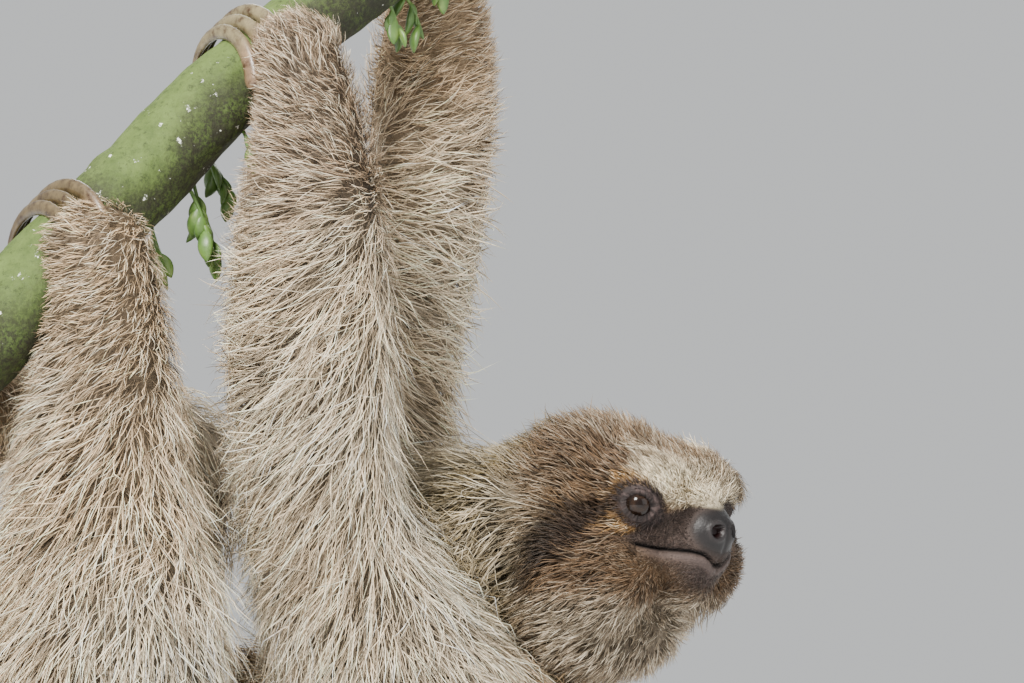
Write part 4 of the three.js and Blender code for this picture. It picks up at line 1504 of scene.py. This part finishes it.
# A rod's collar where it enters the base: (height over the base's top, radius over the rod's).
ROD_COLLAR = [(-2, 2.5), (0.6, 2.5), (2.4, 1.8), (2.8, 0)]
ROD_FEET = {"stand_rod_branch": (-172, -91), "stand_rod_body": (-35, 22)}


def build_base(material):
    """The flat base: a rounded plate with a worked edge."""
    length, width, height = BASE_SIZE
    corners = []
    for cx, cy, start in ((1, 1, 0), (-1, 1, 90), (-1, -1, 180), (1, -1, 270)):
        for a in np.radians(np.linspace(start, start + 90, 13)):
            corners.append((cx * (length / 2 - BASE_CORNER), cy * (width / 2 - BASE_CORNER),
                            math.cos(a), math.sin(a)))
    corners = np.array(corners)
    levels = [(BASE_BEVEL * (1 - math.cos(a)), -BASE_BEVEL * (1 - math.sin(a)))
              for a in np.linspace(0, math.pi / 2, 5)]
    levels += [(height - up, inset) for up, inset in reversed(levels)]
    rings = [np.column_stack([corners[:, :2] + corners[:, 2:] * (BASE_CORNER + inset),
                              np.full(len(corners), up)]) for up, inset in levels]
    points, faces = rings_mesh(np.array(rings) * MM, (0, 0, 0), (0, 0, height * MM))
    piece = mesh_object("stand_base_plate", points, faces)
    face_outwards(piece.data)
    piece.data.set_sharp_from_angle(angle=math.radians(32))
    finished(piece, "stand_base", ["stand_base"], material)


def build_rod(node, material):
    """A round rod with a low collar where it enters the base, up to its node's own top."""
    height, top = BASE_SIZE[2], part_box(node)[1][2] / MM
    rows = [(*ROD_FEET[node], height + up, ROD_RADIUS + more) for up, more in ROD_COLLAR]
    rows += [(*ROD_FEET[node], z, ROD_RADIUS) for z in np.linspace(height + 3.2, top, 6)]
    points, faces = tube_mesh(np.array(rows) * MM, 40, across=(1, 0, 0), domes=0)
    piece = mesh_object(node + "_steel", points, faces)
    piece.data.set_sharp_from_angle(angle=math.radians(40))
    finished(piece, "stand_rod", [node], material)


# ------------------------------------------------------------------ settings

def share_property(label, text, default):
    return bpy.props.FloatProperty(name=label, description=text, default=default,
                                   subtype="FACTOR", min=0.1, max=3.0)


def colour_property(label, text, default):
    return bpy.props.FloatVectorProperty(name=label, description=text, default=tuple(default),
                                         subtype="COLOR", size=3, min=0, max=1)


class SlothCoatSettings(bpy.types.PropertyGroup):
    """Length, width and colours of the coat."""

    hair_length: share_property("Hair length", "Length of the hair over its usual length", 1.0)
    hair_width: share_property("Hair width", "Width of each tuft over its usual width", 1.0)
    __annotations__.update({
        name: colour_property(name.replace("_", " ").capitalize(),
                              f"Colour of the coat's {name.replace('_', ' ')} parts", colour)
        for name, colour in COAT_PAINTS.items()})


class SlothBranchSettings(bpy.types.PropertyGroup):
    """Colours of the branch and the size of its leaves."""

    moss: colour_property("Moss", "Green of the bark", paint(64, 82, 32))
    lichen: colour_property("Lichen", "Pale green of the bark", paint(90, 108, 52))
    hollow: colour_property("Hollows", "Dark patches of the bark", paint(36, 36, 22))
    leaf_size: share_property("Leaf size", "Size of the largest leaves over one leaf's", 1.05)


class SlothStandSettings(bpy.types.PropertyGroup):
    """Finish of the display stand."""

    wood: colour_property("Base", "Colour of the base's stained wood", paint(62, 50, 42))


class SlothStageSettings(bpy.types.PropertyGroup):
    """Where the camera stands, and the light."""

    distance: bpy.props.FloatProperty(
        name="Camera distance", description="From the camera to the nearer arm", default=2.2,
        subtype="DISTANCE", unit="LENGTH")
    lens: bpy.props.FloatProperty(name="Lens", description="Focal length of the camera",
                                  default=201.0, subtype="DISTANCE_CAMERA", unit="CAMERA")
    sky: share_property("Sky light", "Strength of the even light from all round", 0.72)


# ------------------------------------------------------------------ stage

FLOOR_RADIUS = 2.9
SKY_COLOUR = (0.93, 0.95, 0.96, 1)
CAMERA_AT = (95, 341)  # x and height in mm, level with the middle of the view
NEAR_ARM_Y = -15
LIGHTS_AIM = Vector((0.05, 0, 0.3))
LIGHTS = [  # name, place in metres, size in metres, watts, colour
    ("key", (-0.7, -1.5, 1.8), 0.8, 165, (1.0, 0.98, 0.94)),
    ("fill", (1.7, -1.2, 0.9), 1.6, 16, (0.94, 0.97, 1.0)),
    ("back", (0.4, 1.6, 1.5), 1.4, 34, (1.0, 1.0, 1.0)),
]


def build_stage(settings):
    bm = bmesh.new()
    bmesh.ops.create_circle(bm, cap_ends=True, segments=96, radius=FLOOR_RADIUS)
    mesh = bpy.data.meshes.new("floor")
    bm.to_mesh(mesh)
    bm.free()
    mesh.materials.append(floor_finish())
    in_scene("floor", mesh)
    world = bpy.data.worlds.new("soft sky")
    bpy.context.scene.world = world
    world.use_nodes = True
    sky = world.node_tree.nodes["Background"]
    sky.inputs["Color"].default_value = SKY_COLOUR
    sky.inputs["Strength"].default_value = settings.sky
    for name, place, size, watts, colour in LIGHTS:
        light = bpy.data.lights.new(name, "AREA")
        light.size, light.energy, light.color = size, watts, colour
        lamp = in_scene(name, light)
        lamp.location = place
        lamp.rotation_euler = (LIGHTS_AIM - Vector(place)).to_track_quat("-Z", "Y").to_euler()
    camera = bpy.data.cameras.new("camera")
    camera.lens, camera.sensor_width = settings.lens, 36
    holder = in_scene("camera", camera)
    x, z = CAMERA_AT
    holder.location = (x * MM, NEAR_ARM_Y * MM - settings.distance, z * MM)
    holder.rotation_euler = (math.pi / 2, 0, 0)
    bpy.context.scene.camera = holder


# ------------------------------------------------------------------ operators

class PieceOperator:
    bl_options = {"REGISTER", "UNDO"}


class SLOTH_OT_skin(PieceOperator, bpy.types.Operator):
    """Build the skin with its lids, nostrils and mouth"""

    bl_idname = "sloth.skin"
    bl_label = "Skin"

    def execute(self, context):
        paint_skin(build_skin_mesh(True), context.scene.sloth_coat)
        return {"FINISHED"}


class SLOTH_OT_coat(PieceOperator, bpy.types.Operator):
    """Grow the coat of tufts over the skin"""

    bl_idname = "sloth.coat"
    bl_label = "Coat"

    def execute(self, context):
        ground = SkinGround(bpy.data.objects["sloth_skin"].data)
        material = coat_finish()
        for index, plan in enumerate(COAT_PLAN):
            piece = grow_coat(ground, plan, context.scene.sloth_coat, SEED + 100 + index)
            finished(piece, "face_coat" if plan[1] == "head" else "coat", [], material)
        return {"FINISHED"}


class SLOTH_OT_eyes(PieceOperator, bpy.types.Operator):
    """Set the glossy eyes in their lids"""

    bl_idname = "sloth.eyes"
    bl_label = "Eyes"

    def execute(self, context):
        material = eye_finish()
        for side in ("left", "right"):
            build_eye(side, material)
        return {"FINISHED"}


class SLOTH_OT_claws(PieceOperator, bpy.types.Operator):
    """Shape the twelve horn claws over the branch"""

    bl_idname = "sloth.claws"
    bl_label = "Claws"

    def execute(self, context):
        material = claw_finish()
        for limb in LIMBS:
            for index in range(3):
                build_claw(limb, index, material)
        return {"FINISHED"}


class SLOTH_OT_branch(PieceOperator, bpy.types.Operator):
    """Shape the mossy branch and the small plants on it"""

    bl_idname = "sloth.branch"
    bl_label = "Branch"

    def execute(self, context):
        settings = context.scene.sloth_branch
        build_branch(bark_finish(settings))
        build_plants(settings, leaf_finish())
        return {"FINISHED"}


class SLOTH_OT_stand(PieceOperator, bpy.types.Operator):
    """Make the base and the two rods"""

    bl_idname = "sloth.stand"
    bl_label = "Stand"

    def execute(self, context):
        build_base(wood_finish("stained base wood", context.scene.sloth_stand.wood))
        steel = steel_finish()
        for node in ROD_FEET:
            build_rod(node, steel)
        return {"FINISHED"}


class SLOTH_OT_stage(PieceOperator, bpy.types.Operator):
    """Lay the floor, set the lights and stand the camera"""

    bl_idname = "sloth.stage"
    bl_label = "Stage"

    def execute(self, context):
        build_stage(context.scene.sloth_stage)
        return {"FINISHED"}


class SLOTH_PT_panel(bpy.types.Panel):
    """Lists the settings and the pieces of the model"""

    bl_label = "Hanging Sloth"
    bl_idname = "SLOTH_PT_panel"
    bl_space_type = "VIEW_3D"
    bl_region_type = "UI"
    bl_category = "Sloth"

    def draw(self, context):
        for group in SETTINGS:
            box = self.layout.box()
            for name in SETTINGS[group].__annotations__:
                box.prop(getattr(context.scene, group), name)
        for operator in OPERATORS:
            self.layout.operator(operator.bl_idname)


SETTINGS = {"sloth_coat": SlothCoatSettings, "sloth_branch": SlothBranchSettings,
            "sloth_stand": SlothStandSettings, "sloth_stage": SlothStageSettings}
OPERATORS = [SLOTH_OT_skin, SLOTH_OT_coat, SLOTH_OT_eyes, SLOTH_OT_claws, SLOTH_OT_branch,
             SLOTH_OT_stand, SLOTH_OT_stage]
CLASSES = [*SETTINGS.values(), *OPERATORS, SLOTH_PT_panel]


def register():
    for cls in CLASSES:
        bpy.utils.register_class(cls)
    for name, cls in SETTINGS.items():
        setattr(bpy.types.Scene, name, bpy.props.PointerProperty(type=cls))


def unregister():
    for name in SETTINGS:
        delattr(bpy.types.Scene, name)
    for cls in reversed(CLASSES):
        bpy.utils.unregister_class(cls)


def main():
    register()
    bpy.ops.sloth.skin()
    bpy.ops.sloth.coat()
    bpy.ops.sloth.eyes()
    bpy.ops.sloth.claws()
    bpy.ops.sloth.branch()
    bpy.ops.sloth.stand()
    bpy.ops.sloth.stage()


if __name__ == "__main__":
    main()
